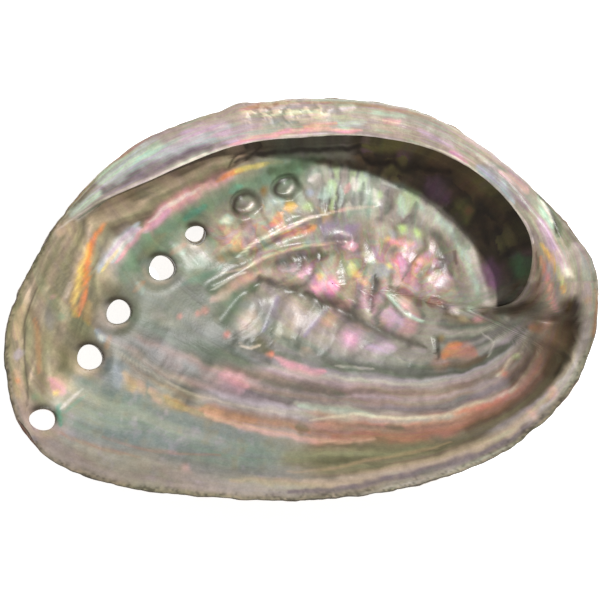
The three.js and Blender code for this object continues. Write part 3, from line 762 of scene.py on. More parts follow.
# Inside the bowl.
BOWL_PAINT = [
    # The left wall, with its flame.
    ("ash", 0.6, 6, [(50, 302), (50, 326)]),
    ("pink", 0.6, 3, [(53, 298)]),
    ("teal", 0.35, 4, [(60, 316)]),
    ("amber", 0.7, 4, [(90, 246), (82, 266), (78, 286), (75, 302), (74, 318)]),
    ("orange", 0.85, 2.6, [(104, 220), (96, 236), (89, 254), (86, 276), (84, 298), (78, 316)]),
    ("yellow", 0.6, 1.6, [(84, 256), (79, 274), (77, 292), (74, 310)]),
    ("earth", 0.8, 7, [(32, 308), (37, 330), (38, 350), (39, 366), (42, 390)]),
    ("dark olive", 0.6, 8, [(58, 326), (62, 350), (64, 372)]),
    ("orange", 0.2, 3, [(35, 319), (38, 347), (40, 372)]),
    ("cream", 0.5, 1.5, [(47, 350), (48, 366), (50, 380)]),
    ("cream", 0.5, 2.5, [(70, 282), (66, 300)]),
    # The pale flash and pink strip under the shelf: nacre colours with a painted glint of light on them.
    ("pearl", 0.85, 11, [(104, 266), (119, 248), (138, 228)]),
    ("sky", 0.7, 4, [(100, 272), (106, 258), (117, 246), (128, 234), (140, 224)]),
    ("lilac", 0.8, 4, [(110, 262), (120, 250), (131, 239), (142, 228)]),
    ("white", 0.8, 5, [(106, 262), (118, 248), (131, 234)]),
    ("yellow", 0.5, 2, [(102, 272), (110, 260), (118, 250)]),
    ("mint", 0.6, 2.2, [(112, 262), (126, 246), (136, 234)]),
    ("lilac", 0.7, 2.2, [(108, 256), (120, 243), (134, 228)]),
    ("pink", 0.7, 2.6, [(116, 262), (133, 242), (150, 224)]),
    # Painted shade: dark lines under the shelf's edge and a dark wedge of shadow below it.
    ("bark", 0.7, 3, [(228, 158), (258, 148), (290, 144), (330, 142), (360, 142)]),
    ("bark", 0.4, 1.4, [(90, 214), (130, 198), (170, 179), (205, 163)]),
    ("deep green", 0.35, 7, [(140, 197), (160, 188)]),
    ("sand", 0.5, 6, [(152, 191), (176, 179)]),
    ("olive", 0.8, 7, [(158, 203)]),
    ("sand", 0.6, 9, [(94, 222), (112, 212), (130, 204)]),
    ("pearl", 0.7, 6, [(76, 217), (98, 206)]),
    ("umber", 0.8, 2, [(150, 220), (180, 196), (215, 176), (245, 162)]),
    # The pink strip: pink nacre with a painted glint where the light catches the wall.
    ("pink", 0.95, 7, [(149, 227), (160, 215), (178, 202), (194, 193), (210, 185), (230, 175)]),
    ("salmon", 0.6, 4, [(168, 205), (186, 195), (206, 184)]),
    ("white", 0.6, 2.4, [(150, 222), (164, 209), (182, 198), (200, 188)]),
    ("rose", 0.7, 3, [(146, 233), (156, 223), (170, 210)]),
    ("orange", 0.8, 2.6, [(216, 181), (230, 174), (244, 170)]),
    ("yellow", 0.9, 2.6, [(236, 172), (252, 167), (270, 163)]),
    ("olive", 0.7, 3, [(265, 164), (282, 161)]),
    ("pink", 0.6, 2, [(151, 226), (154, 238)]),
    # Painted shadow of the shelf where the hollow begins.
    ("shade black", 0.9, 4, [(236, 163), (262, 154), (285, 150), (312, 149), (350, 148), (372, 146)]),
    ("bark", 0.8, 1.3, [(228, 168), (236, 156), (252, 146)]),
    ("bark", 0.8, 1.3, [(246, 161), (262, 146)]),
    # The green band beside the holes.
    ("green", 0.85, 11, [(128, 266), (150, 243), (180, 220), (215, 200), (250, 183), (290, 168),
                         (318, 162)]),
    ("olive", 0.6, 6, [(165, 234), (140, 258)]),
    ("teal", 0.85, 4, [(183, 219), (205, 207)]),
    ("teal", 0.6, 4, [(228, 192), (240, 187)]),
    ("deep green", 0.85, 6, [(268, 172), (300, 164), (325, 160)]),
    # Painted shadow at the top of the floor, under the shelf.
    ("brown", 0.9, 6, [(318, 163), (345, 165), (362, 168)]),
    # Bridges between the holes, with painted highlights on them.
    ("sky", 0.85, 5, [(96, 331), (106, 341)]),
    ("white", 0.8, 3, [(99, 335), (104, 340)]),
    ("orange", 0.3, 3.5, [(112, 336), (106, 348)]),
    ("mint", 0.8, 5, [(136, 285), (145, 293)]),
    ("orange", 0.3, 3.5, [(133, 292), (146, 282)]),
    ("mint", 0.8, 5, [(175, 246), (184, 254)]),
    ("coral", 0.3, 3.5, [(170, 254), (186, 244)]),
    ("mint", 0.8, 5, [(222, 222), (231, 219)]),
    ("white", 0.9, 3.5, [(227, 221)]),
    # Painted glints on the bridge beside the newest hole.
    ("pink", 0.6, 7, [(52, 380), (64, 392)]),
    ("yellow", 0.7, 3.5, [(56, 392)]),
    ("teal", 0.8, 3, [(59, 404), (60, 426)]),
    ("white", 0.5, 2, [(60, 409), (70, 400), (82, 390)]),
    ("teal", 0.4, 2, [(64, 412), (84, 397)]),
    ("green", 0.6, 3.5, [(34, 398)]),
    ("violet", 0.6, 4, [(33, 438)]),
    ("dark olive", 0.8, 10, [(118, 334), (134, 330)]),
    ("green", 0.7, 7, [(196, 262), (212, 262)]),
    ("sage", 0.6, 14, [(120, 290), (137, 310), (160, 300), (184, 312)]),
    ("dark olive", 0.5, 10, [(106, 284), (118, 292)]),
    ("sage", 0.6, 12, [(126, 314), (150, 318)]),
    ("slate", 0.7, 14, [(170, 336), (196, 340), (222, 338)]),
    ("sage", 0.6, 9, [(204, 288), (222, 282), (240, 264)]),
    ("slate", 0.85, 13, [(176, 334), (214, 338), (240, 356), (268, 364)]),
    ("sage", 0.5, 8, [(226, 270), (246, 262)]),
    ("green", 0.5, 7, [(208, 238), (222, 244)]),
    # Between the holes and the first ridges.
    ("gold", 0.85, 5, [(264, 191)]),
    ("mint", 0.8, 6, [(266, 208), (284, 200)]),
    ("sky", 0.7, 4, [(311, 193)]),
    ("lime", 0.7, 5, [(308, 207)]),
    ("amber", 0.85, 5, [(284, 210), (297, 207)]),
    ("orange", 0.85, 4, [(270, 225), (281, 214)]),
    ("cream", 0.4, 9, [(230, 242), (244, 232)]),
    ("coral", 0.85, 7, [(237, 245)]),
    ("cream", 0.45, 8, [(228, 240), (246, 230)]),
    ("lime", 0.8, 4, [(244, 234)]),
    ("orange", 0.7, 4, [(222, 259)]),
    ("lime", 0.6, 4, [(329, 189)]),
    ("violet", 0.6, 4, [(333, 182)]),
    ("lime", 0.5, 5, [(262, 248)]),
    ("deep green", 0.6, 4, [(206, 268), (226, 256), (242, 252)]),
    ("teal", 0.5, 4, [(185, 285), (205, 276), (222, 266)]),
    ("salmon", 0.7, 6, [(212, 300), (235, 284), (256, 272)]),
    ("orange", 0.75, 5, [(284, 235), (300, 231), (317, 228)]),
    ("umber", 0.6, 2.5, [(246, 258), (270, 243), (292, 233), (312, 226)]),
    # Painted highlights along the ridges.
    ("white", 0.9, 1.7, [(237, 257), (254, 243), (270, 235), (291, 226), (307, 219), (330, 214)]),
    ("white", 0.9, 1.7, [(212, 290), (232, 277), (246, 272)]),
    ("cream", 0.9, 1.8, [(221, 273), (243, 268), (264, 258), (288, 250), (306, 246), (348, 241)]),
    ("slate", 0.6, 9, [(326, 238), (346, 238)]),
    ("violet", 0.8, 9, [(325, 230), (345, 229), (358, 228)]),
    # A painted highlight in the violet dent.
    ("white", 0.6, 2, [(341, 232), (350, 234)]),
    ("salmon", 0.6, 2, [(330, 213), (350, 209), (374, 207)]),
    ("sky", 0.4, 8, [(304, 242), (320, 238)]),
    # Valleys.
    ("slate", 0.7, 9, [(262, 384), (310, 390), (344, 394)]),
    ("valley", 0.75, 8, [(274, 266), (298, 260), (328, 254)]),
    ("deep green", 0.5, 6, [(272, 270), (284, 260), (306, 255), (336, 251)]),
    ("deep green", 0.85, 7, [(259, 280), (243, 296), (232, 311), (222, 326)]),
    ("valley", 0.85, 6.5, [(258, 277), (278, 287), (299, 291), (320, 298), (348, 313), (369, 325),
                           (400, 338), (425, 346)]),
    ("violet", 0.85, 4, [(278, 298), (270, 317), (264, 332)]),
    ("violet", 0.6, 3.5, [(327, 310), (304, 335)]),
    ("slate", 0.7, 5, [(284, 337), (306, 351), (334, 360), (376, 367)]),
    # Cells of the scar.
    ("yellow", 0.7, 4, [(320, 277)]),
    ("magenta", 0.8, 5, [(331, 291)]),
    ("mint", 0.6, 4, [(371, 260)]),
    ("bark", 0.7, 5, [(376, 278), (374, 292), (371, 310)]),
    ("pearl", 0.5, 10, [(285, 312), (303, 320)]),
    ("salmon", 0.7, 7, [(328, 322)]),
    ("rose", 0.95, 9, [(351, 338)]),
    ("lilac", 0.8, 8, [(370, 345), (392, 350)]),
    ("ash", 0.85, 12, [(244, 306), (274, 316)]),
    ("salmon", 0.4, 8, [(252, 312), (243, 328)]),
    ("rose", 0.8, 9, [(312, 287), (340, 284)]),
    ("coral", 0.9, 4, [(226, 335)]),
    ("coral", 0.85, 4, [(271, 355)]),
    ("coral", 0.85, 4, [(205, 310)]),
    ("coral", 0.7, 3, [(180, 316)]),
    ("coral", 0.7, 3, [(198, 313)]),
    ("dark olive", 0.8, 8, [(258, 340), (268, 352)]),
    ("cream", 0.7, 1.5, [(239, 343), (249, 348), (261, 345)]),
    ("pink", 0.7, 4, [(276, 358), (292, 366), (309, 371), (326, 373)]),
    ("deep green", 0.6, 13, [(195, 345), (225, 352), (248, 362)]),
    ("pink", 0.5, 8, [(220, 376), (246, 386)]),
    ("magenta", 0.9, 8, [(396, 262)]),
    ("yellow", 0.8, 3, [(389, 266)]),
    ("yellow", 0.6, 5, [(351, 264), (360, 276)]),
    ("amber", 0.5, 3.5, [(358, 278), (367, 285)]),
    ("lime", 0.5, 4, [(366, 254)]),
    ("lilac", 0.7, 8, [(410, 283), (418, 290)]),
    ("gold", 0.6, 1.8, [(401, 254), (420, 268), (438, 284)]),
    ("pink", 0.8, 6, [(392, 243), (414, 243)]),
    ("lime", 0.95, 4.5, [(404, 228)]),
    ("lime", 0.9, 5, [(418, 233)]),
    ("sky", 0.7, 4, [(394, 235)]),
    ("amber", 0.6, 3, [(388, 240)]),
    ("mint", 0.4, 8, [(380, 230), (392, 238)]),
    ("mint", 0.4, 7, [(408, 240), (420, 242)]),
    ("umber", 0.7, 4, [(386, 287), (405, 294), (424, 305)]),
    ("mint", 0.9, 2.4, [(382, 291), (394, 302), (405, 313), (424, 322)]),
    ("pink", 0.8, 6, [(405, 305)]),
    ("lilac", 0.7, 8, [(384, 314), (402, 322)]),
    # The pale band round the scar, and the lumps where it ends.
    ("mint", 0.8, 6, [(464, 247)]),
    ("slate", 0.8, 8, [(432, 234), (443, 255), (450, 273)]),
    ("sage", 0.6, 7, [(456, 230), (468, 246)]),
    ("umber", 0.6, 2, [(454, 250), (457, 264)]),
    ("rust", 0.8, 5, [(428, 300), (441, 306)]),
    # A painted glint on a lump.
    ("white", 0.9, 4, [(454, 312)]),
    ("mint", 0.8, 4, [(471, 308)]),
    ("rust", 0.8, 4, [(482, 310)]),
    ("lilac", 0.5, 4, [(488, 318)]),
    ("tan", 0.6, 4, [(464, 319)]),
    ("pink", 0.6, 4, [(478, 320)]),
    # A painted highlight at the tip of the shelf's shadow, and painted shade beside the lumps.
    ("white", 0.5, 4, [(487, 302)]),
    ("brown", 0.6, 8, [(480, 315), (494, 309)]),
    ("earth", 0.7, 9, [(444, 356), (478, 358)]),
    ("coral", 0.35, 6, [(446, 354), (464, 350), (476, 353)]),
    ("orange", 0.5, 4.5, [(440, 357), (448, 350), (462, 346)]),
    ("umber", 0.6, 4, [(442, 364), (464, 363), (488, 357)]),
    ("gold", 0.7, 4, [(441, 339)]),
    ("bark", 0.7, 1.6, [(434, 341), (437, 349), (433, 356)]),
    ("white", 0.3, 1.2, [(483, 334), (493, 343), (488, 358)]),
    ("white", 0.3, 1.2, [(508, 331), (493, 343)]),
    # The smooth floor at the lower left.
    ("deep sea", 0.7, 9, [(106, 360), (120, 376)]),
    ("sea grey", 0.6, 11, [(78, 384), (98, 390)]),
    ("deep sea", 0.5, 14, [(108, 384), (118, 368)]),
    ("deep sea", 0.45, 12, [(64, 436), (92, 440)]),
    ("tan", 0.6, 9, [(126, 375), (144, 388)]),
    ("tan", 0.5, 8, [(152, 392), (174, 406)]),
    ("sky", 0.4, 6, [(116, 368), (122, 386)]),
    ("amber", 0.25, 6, [(126, 374), (132, 388)]),
    ("salmon", 0.3, 6, [(139, 380), (144, 394)]),
    ("salmon", 0.3, 6, [(154, 390), (158, 402)]),
    ("amber", 0.3, 6, [(166, 398), (186, 410)]),
    ("rosewood", 0.6, 8, [(160, 352), (182, 366)]),
    ("rosewood", 0.6, 8, [(200, 372), (222, 384)]),
    ("cream", 0.35, 1.4, [(118, 352), (154, 374), (189, 393), (228, 403), (280, 413)]),
    ("brick", 0.4, 1.8, [(56, 431), (98, 448), (140, 457)]),
    ("brick", 0.4, 1.8, [(102, 436), (140, 448), (182, 454), (220, 455)]),
    ("ash", 0.7, 9, [(49, 440), (70, 450)]),
    ("salmon", 0.4, 5, [(187, 469)]),
    # Bands along the bottom wall.
    ("white", 0.3, 1.5, [(334, 366), (374, 369)]),
    # A painted glint along the wall.
    ("pearl", 0.6, 5, [(296, 404), (345, 410), (390, 416), (428, 420)]),
    ("mint", 0.45, 4, [(300, 406), (340, 411), (374, 415)]),
    ("tan", 0.7, 6, [(184, 408), (220, 414), (256, 420)]),
    ("rust", 0.5, 5, [(206, 407), (232, 411), (256, 416), (287, 423), (318, 431), (341, 437)]),
    ("salmon", 0.6, 3.5, [(205, 414), (241, 425), (287, 435), (333, 441), (376, 440)]),
    ("orange", 0.2, 4, [(200, 410), (230, 416), (270, 424), (310, 431)]),
    ("brick", 0.75, 6, [(333, 435), (379, 435), (417, 435), (446, 430), (467, 421), (498, 408), (513, 396),
                        (530, 376), (543, 356)]),
    ("coral", 0.6, 4, [(455, 412), (490, 404), (508, 392)]),
    ("deep green", 0.5, 4, [(296, 427), (308, 429)]),
    ("deep green", 0.5, 4, [(388, 427), (402, 428)]),
    # Painted highlights along the wavy ledge.
    ("cream", 0.7, 2, [(310, 420), (340, 416), (360, 414), (398, 419), (421, 418), (447, 415), (467, 406),
                       (490, 400), (513, 389), (522, 381), (536, 358), (541, 346)]),
    ("cream", 0.7, 1.8, [(495, 377), (504, 370), (510, 360), (521, 352), (526, 340)]),
    ("lime", 0.5, 4, [(516, 357)]),
    ("coral", 0.6, 4, [(504, 374)]),
    ("tan", 0.45, 1.8, [(287, 472), (333, 468), (371, 460), (420, 451), (450, 442)]),
    ("umber", 0.6, 1.8, [(325, 477), (371, 469), (420, 459), (452, 449), (490, 432)]),
    ("sand", 0.9, 4.5, [(230, 479), (287, 482), (333, 481), (379, 472), (420, 464), (452, 455), (498, 436),
                        (528, 417), (553, 395)]),
    ("mauve", 0.9, 4, [(287, 492), (333, 489), (379, 481), (420, 472), (452, 464), (498, 446), (521, 432),
                       (544, 414), (560, 398), (582, 370)]),
    ("white", 0.6, 2, [(348, 497), (420, 482), (467, 467), (513, 445)]),
    # The margin at the left.
    ("bark", 0.6, 1.5, [(39, 280), (27, 315), (24, 336), (25, 359), (28, 385), (27, 406)]),
    ("tan", 0.7, 5, [(24, 305), (15, 339)]),
    ("lavender", 0.7, 5, [(18, 350), (19, 358)]),
    ("tan", 0.8, 5, [(17, 372), (20, 395)]),
    ("orange", 0.4, 3, [(18, 381)]),
    # The shaded hollow under the shelf, its dark colours painted shade.
    ("cave olive", 1.0, 6, [(364, 147), (400, 146), (425, 149), (448, 155)]),
    ("cave olive", 0.6, 5, [(470, 172), (492, 196)]),
    ("cave olive", 0.8, 9, [(458, 204), (470, 220)]),
    ("cave shadow", 1.0, 6, [(364, 159), (380, 163), (400, 168), (425, 168), (450, 173)]),
    ("cave shadow", 0.8, 7, [(508, 215), (524, 245)]),
    ("cave olive", 0.9, 4, [(390, 170)]),
    ("cave violet", 0.9, 10, [(428, 180), (446, 200)]),
    ("rust", 0.7, 4, [(468, 211)]),
    ("cave shadow", 0.8, 9, [(478, 212), (488, 244)]),
    ("cave green", 0.9, 9, [(517, 254), (521, 276)]),
    ("cave violet", 1.0, 12, [(490, 262), (496, 288)]),
    ("cave shadow", 0.9, 7, [(498, 306), (522, 302)]),
    # Pleats where the floor comes out into the light, with painted highlights and painted shade on them.
    ("white", 0.8, 5, [(311, 180), (320, 176)]),
    ("mint", 0.6, 11, [(340, 188), (362, 188), (374, 204)]),
    ("mint", 0.8, 6, [(322, 196), (330, 186)]),
    ("lime", 0.6, 4, [(331, 184)]),
    ("pink", 0.7, 4, [(345, 192), (348, 183)]),
    ("white", 0.8, 4, [(352, 178), (356, 190)]),
    ("mint", 0.5, 8, [(352, 212), (372, 211)]),
    ("slate", 0.6, 3, [(337, 196), (336, 214)]),
    ("slate", 0.6, 3, [(363, 184), (362, 206)]),
    ("lime", 0.6, 4, [(381, 194)]),
    ("white", 0.6, 4, [(374, 188), (378, 204)]),
    ("slate", 0.6, 3.5, [(390, 190), (386, 214)]),
    ("mint", 0.7, 5, [(402, 196), (404, 214)]),
    ("slate", 0.7, 3.5, [(416, 202), (413, 222)]),
    ("pearl", 0.8, 6, [(428, 208), (432, 226)]),
    # Shade over the floor at the left, and soft lights above and beyond it.
    ("shade black", 0.3, 36, [(108, 388), (120, 352), (146, 316), (190, 322), (226, 342)]),
    ("deep green", 0.35, 30, [(116, 330), (142, 306), (180, 296), (212, 286), (238, 268)]),
    ("shade black", 0.2, 14, [(204, 286), (230, 264)]),
    ("shade black", 0.25, 14, [(150, 356), (176, 372)]),
    ("shade black", 0.2, 14, [(254, 312), (270, 314)]),
    ("shade black", 0.25, 10, [(356, 306), (366, 318)]),
    ("shade black", 0.2, 10, [(226, 410), (250, 416)]),
    ("shade black", 0.2, 18, [(300, 388), (345, 386)]),
    ("cream", 0.35, 8, [(200, 192), (224, 184)]),
    ("amber", 0.3, 6, [(87, 302), (86, 322)]),
    ("lavender", 0.4, 9, [(476, 390), (498, 384)]),
    ("lavender", 0.35, 8, [(304, 360), (322, 364)]),
    ("brick", 0.4, 8, [(430, 364), (446, 362)]),
]

# On the shelf.
SHELF_PAINT = [
    ("lavender", 0.8, 18, [(100, 190), (150, 162), (205, 142), (250, 128)]),
    ("sky", 0.7, 7, [(112, 180), (150, 161), (190, 146), (215, 140)]),
    # The mauve furrow, its depth partly painted shade, and a painted highlight along the bank inside it.
    ("mauve", 1.0, 6.5, [(100, 193), (114, 186), (134, 177), (161, 165), (188, 155), (214, 147)]),
    ("white", 0.4, 3, [(104, 200), (134, 187), (164, 174), (196, 160), (228, 148)]),
    ("mint", 1.0, 9, [(100, 182), (120, 166), (142, 152), (160, 145)]),
    ("mint", 0.7, 5, [(70, 214), (86, 202), (100, 191)]),
    ("lilac", 0.8, 8, [(180, 138), (230, 128)]),
    ("lilac", 0.6, 6, [(222, 141), (262, 134)]),
    ("blush", 0.6, 6, [(250, 130), (290, 126)]),
    ("pearl", 0.9, 8, [(244, 140), (278, 135)]),
    ("brick", 0.7, 1.8, [(75, 200), (99, 172), (129, 151), (154, 134)]),
    ("brick", 0.85, 3, [(240, 110), (265, 106), (291, 103)]),
    ("brick", 0.6, 1.6, [(291, 103), (340, 103), (390, 109), (440, 120)]),
    ("white", 0.7, 4, [(340, 108), (355, 108)]),
    ("teal", 0.4, 4, [(262, 125), (297, 121)]),
    ("mint", 0.8, 4, [(317, 125), (360, 123)]),
    ("coral", 0.7, 2.5, [(304, 127), (337, 124)]),
    ("pink", 0.8, 3, [(228, 147), (250, 139), (270, 135), (297, 131), (324, 129), (360, 131)]),
    ("mint", 0.5, 4, [(352, 124), (366, 122)]),
    ("dove", 0.6, 8, [(385, 116), (420, 124), (456, 142)]),
    ("pink", 0.5, 3, [(384, 122), (400, 122)]),
    ("mint", 0.5, 3, [(372, 113), (404, 117)]),
    ("lilac", 0.5, 3, [(418, 130), (454, 147)]),
    ("dove", 0.95, 12, [(484, 168), (512, 184), (530, 205)]),
    ("sky", 0.9, 5, [(478, 166), (496, 182), (514, 203)]),
    ("pink", 0.45, 4, [(500, 172), (528, 191)]),
    ("magenta", 0.6, 3, [(450, 152), (468, 163)]),
    ("mint", 0.8, 4, [(540, 197), (552, 226)]),
    # Painted highlights along the shelf's edge.
    ("white", 0.8, 1.6, [(489, 181), (510, 203), (526, 224), (533, 243)]),
    ("white", 0.8, 1.6, [(56, 230), (87, 211), (141, 186), (194, 160), (230, 148), (297, 136), (360, 136),
                         (420, 145), (462, 161), (489, 182)]),
]

# Round the end of the shelf by the spire, and down the right wall.
END_PAINT = [
    # Painted shade down the right wall, which faces away from the light.
    ("brown", 1.0, 12, [(568, 302), (570, 324), (562, 350), (548, 376)]),
    ("umber", 0.6, 10, [(556, 366), (536, 392), (506, 412), (470, 428)]),
    ("umber", 0.8, 12, [(528, 300), (540, 330), (530, 362), (512, 384)]),
    ("bark", 0.8, 5, [(574, 298), (576, 318), (571, 345), (556, 376)]),
    ("rust", 0.7, 5, [(528, 326), (540, 330), (550, 322)]),
    ("rosewood", 0.6, 4, [(536, 344), (546, 326), (550, 306)]),
    # Painted light along the lip's flared top.
    ("pearl", 0.9, 7, [(588, 330), (577, 366), (558, 394)]),
    ("white", 0.9, 8, [(576, 245), (586, 266), (590, 300), (588, 335)]),
    ("lilac", 0.6, 5, [(576, 244), (585, 262), (589, 284)]),
    # Painted shade in the dark notch where the shelf's groove ends, with a painted highlight beside it.
    ("deep green", 0.8, 5, [(553, 208), (560, 236)]),
    ("bark", 0.8, 2.5, [(536, 190), (546, 203), (553, 218), (556, 232)]),
    ("white", 0.8, 1.6, [(541, 200), (548, 211), (552, 223)]),
    ("lilac", 0.9, 5, [(541, 218), (549, 240), (560, 262)]),
    # Painted shadow in the hollow at the root of the shelf's end.
    ("brown", 0.85, 10, [(536, 284), (532, 304), (512, 314)]),
    ("bark", 0.9, 6, [(494, 309), (510, 309), (524, 302)]),
    # More painted shade on the right wall.
    ("umber", 0.7, 8, [(552, 318), (562, 336), (556, 352)]),
    ("sage", 0.5, 7, [(518, 350), (534, 338), (546, 334)]),
    ("slate", 0.7, 5, [(512, 324), (530, 314), (546, 304)]),
    ("rosewood", 0.8, 6, [(534, 246), (537, 272), (538, 300)]),
    ("umber", 0.8, 1.8, [(536, 252), (539, 276), (536, 302)]),
    ("coral", 0.6, 2.4, [(540, 256), (547, 278), (552, 304)]),
    ("amber", 0.8, 2.8, [(541, 243), (552, 261), (562, 280), (564, 294)]),
    ("lime", 0.7, 2.4, [(556, 262), (564, 286)]),
    ("pink", 0.6, 3.5, [(549, 284), (556, 312)]),
    ("cream", 0.7, 5, [(552, 250), (564, 268)]),
    # A painted highlight where the shelf's crest turns over.
    ("white", 0.95, 5.5, [(562, 266), (573, 277)]),
    ("orange", 0.5, 2.5, [(595, 289), (597, 312), (594, 337)]),
    # A painted highlight on the lip.
    ("white", 0.8, 7, [(586, 272), (590, 304)]),
    ("amber", 0.4, 4, [(588, 299)]),
    ("salmon", 0.6, 6, [(554, 393)]),
    ("salmon", 0.5, 5, [(533, 413)]),
    # Painted shade beside the root of the shelf's end.
    ("brown", 0.6, 8, [(482, 316), (494, 311)]),
    ("lilac", 0.5, 7, [(558, 256), (568, 268)]),
]


# Strips of nacre between two routes: colours from the near route to the far one, strength, contrast of the
# streaks along it, how many ribs cross it, their contrast and rise in mm, how many facets lie along it,
# their colours and how strong these are.
Strip = namedtuple("Strip", "near far colours strength streak ribs rib rise facets facet_colours facet")
PLAIN = (0, [], 0.0)
STREAK_WIDTH = 4.0
STRIPS = [
    # The left wall, streaked along the margin.
    Strip([(114, 203), (102, 235), (90, 265), (83, 300), (74, 340), (62, 384)],
          [(60, 230), (44, 258), (29, 295), (20, 335), (20, 370), (25, 405)],
          ["olive", "olive", "sand", "olive", "olive", "sand", "olive", "sand"],
          0.85, 0.42, 20, 0.04, 0.0, *PLAIN),
    # The wall under the shelf at the left.
    Strip([(84, 214), (114, 204), (150, 187), (194, 166), (235, 151)],
          [(110, 236), (140, 222), (175, 200), (212, 178), (245, 160)],
          ["umber", "earth", "sand", "olive", "earth", "umber"], 0.85, 0.35, 20, 0.05, 0.0, *PLAIN),
    # Ribs across the floor at the lower left.
    Strip([(128, 322), (165, 335), (205, 352), (250, 372), (290, 388)],
          [(108, 354), (140, 380), (175, 398), (215, 410), (260, 417)],
          ["sea grey", "slate", "rosewood", "ash", "slate", "rosewood", "slate", "earth", "sea grey"],
          0.8, 0.22, 20, 0.32, 0.06, *PLAIN),
    # Bright patches between the holes and the first ridges.
    Strip([(208, 240), (240, 218), (275, 204), (318, 190)],
          [(232, 264), (258, 247), (300, 227), (345, 212)],
          ["fog", "sand", "pearl", "fog", "ash"], 0.6, 0.1, 14, 0.15, 0.1,
          9, ["coral", "lime", "amber", "mint", "sand", "salmon", "green", "pearl"], 0.5),
    # Pleats where the floor comes out into the light.
    Strip([(306, 176), (330, 169), (352, 168), (373, 175), (423, 198), (450, 214)],
          [(314, 206), (332, 208), (350, 208), (376, 212), (410, 232), (428, 244)],
          ["mint", "pearl", "pearl", "fog", "ash", "fog"], 0.8, 0.12, 15, 0.2, 0.2,
          10, ["pearl", "mint", "fog", "lime", "blush", "ash", "white"], 0.55),
    # The pale band beside the hollow.
    Strip([(415, 190), (447, 213), (465, 232), (478, 262), (488, 300)],
          [(404, 222), (428, 240), (444, 262), (454, 282), (466, 304)],
          ["white", "pearl", "mint", "pearl", "fog", "fog", "ash"], 0.85, 0.12, 12, 0.12, 0.05, *PLAIN),
    # The upper part of the scar.
    Strip([(285, 264), (310, 256), (350, 246), (395, 240), (428, 252), (456, 292)],
          [(268, 280), (300, 290), (345, 311), (385, 318), (425, 316), (460, 306)],
          ["fog", "sand", "pearl", "blush", "fog", "ash"], 0.7, 0.1, 26, 0.2, 0.12,
          8, ["rose", "sand", "salmon", "lilac", "fog", "pink", "cream"], 0.6),
    # The row of cells below the dark valley.
    Strip([(236, 306), (262, 288), (300, 297), (345, 318), (390, 340), (430, 352)],
          [(222, 332), (255, 344), (290, 348), (330, 360), (380, 368), (430, 366)],
          ["ash", "fog", "fog", "pearl", "fog", "ash", "slate"], 0.7, 0.1, 30, 0.16, 0.12,
          8, ["fog", "sand", "blush", "ash", "pearl", "fog", "salmon"], 0.55),
    # Satin bands below the scar.
    Strip([(222, 334), (262, 350), (300, 360), (345, 367), (400, 370), (450, 370), (488, 358), (514, 338),
           (528, 318)],
          [(186, 394), (240, 405), (290, 413), (345, 416), (400, 420), (447, 415), (490, 400), (522, 380),
           (541, 346)],
          ["slate", "slate", "lavender", "pearl", "blush", "rosewood", "rosewood", "blush", "rosewood",
           "dove", "dove", "lavender", "pearl"],
          0.85, 0.26, 36, 0.12, 0.1, *PLAIN),
    # The floor between the lumps and the right wall.
    Strip([(428, 356), (470, 350), (505, 332), (530, 304)],
          [(440, 312), (470, 322), (496, 318), (516, 300)],
          ["slate", "ash", "slate", "fog", "slate", "earth"], 0.8, 0.35, 14, 0.12, 0.1, *PLAIN),
    # Rust and olive bands between the ledge and the margin.
    Strip([(300, 418), (345, 418), (400, 422), (447, 417), (490, 402), (522, 383), (541, 350), (548, 322)],
          [(280, 487), (345, 484), (400, 473), (450, 459), (498, 440), (528, 420), (556, 393), (574, 355),
           (580, 315)],
          ["fog", "brick", "rosewood", "rust", "earth", "olive", "dark olive", "olive", "earth", "sand"],
          0.8, 0.3, 36, 0.06, 0.0, *PLAIN),
    # The lip at the right.
    Strip([(584, 262), (588, 300), (583, 345), (563, 380), (530, 408), (480, 438)],
          [(596, 290), (597, 312), (592, 345), (572, 385), (540, 416), (486, 449)],
          ["lavender", "pearl", "lavender", "pearl", "sand"], 0.8, 0.15, 60, 0.15, 0.1, *PLAIN),
    # The shaded hollow under the shelf, its dark colours painted shade.
    Strip([(345, 163), (376, 170), (403, 178), (452, 209), (482, 250), (497, 303)],
          [(345, 141), (380, 140), (425, 148), (489, 184), (528, 232), (530, 290)],
          ["cave", "cave", "cave shadow", "cave", "cave olive"], 0.9, 0.3, 22, 0.3, 0.0,
          9, ["cave", "cave violet", "cave shadow", "cave olive", "cave shadow", "cave"], 0.55),
]


def route_at(points, along):
    route = smooth_route(points)
    keys = np.linspace(0, 1, len(route))
    return np.interp(along, keys, route[:, 0]), np.interp(along, keys, route[:, 1])


def strip_place(u, v, strip):
    """How far each place lies across a strip and along it, how surely it lies within it, and the strip's
    width there."""
    to_near, along_near = route_distance(u, v, strip.near)
    to_far, along_far = route_distance(u, v, strip.far)
    across = to_near / np.maximum(to_near + to_far, 0.001)
    along = (1 - across) * along_near + across * along_far
    near_u, near_v = route_at(strip.near, along)
    far_u, far_v = route_at(strip.far, along)
    width = np.hypot(far_u - near_u, far_v - near_v)
    within = 1 - ease((to_near + to_far) / np.maximum(width, 1), 1.05, 1.5)
    return across, along, within * ease(along, 0, 0.08) * (1 - ease(along, 0.92, 1)), width


def strip_ribs(across, along, strip):
    """Uneven ribs across a strip, from -1 to 1."""
    return rough_noise(along * strip.ribs, across * 1.5 + along * 3, octaves=2, seed=113)


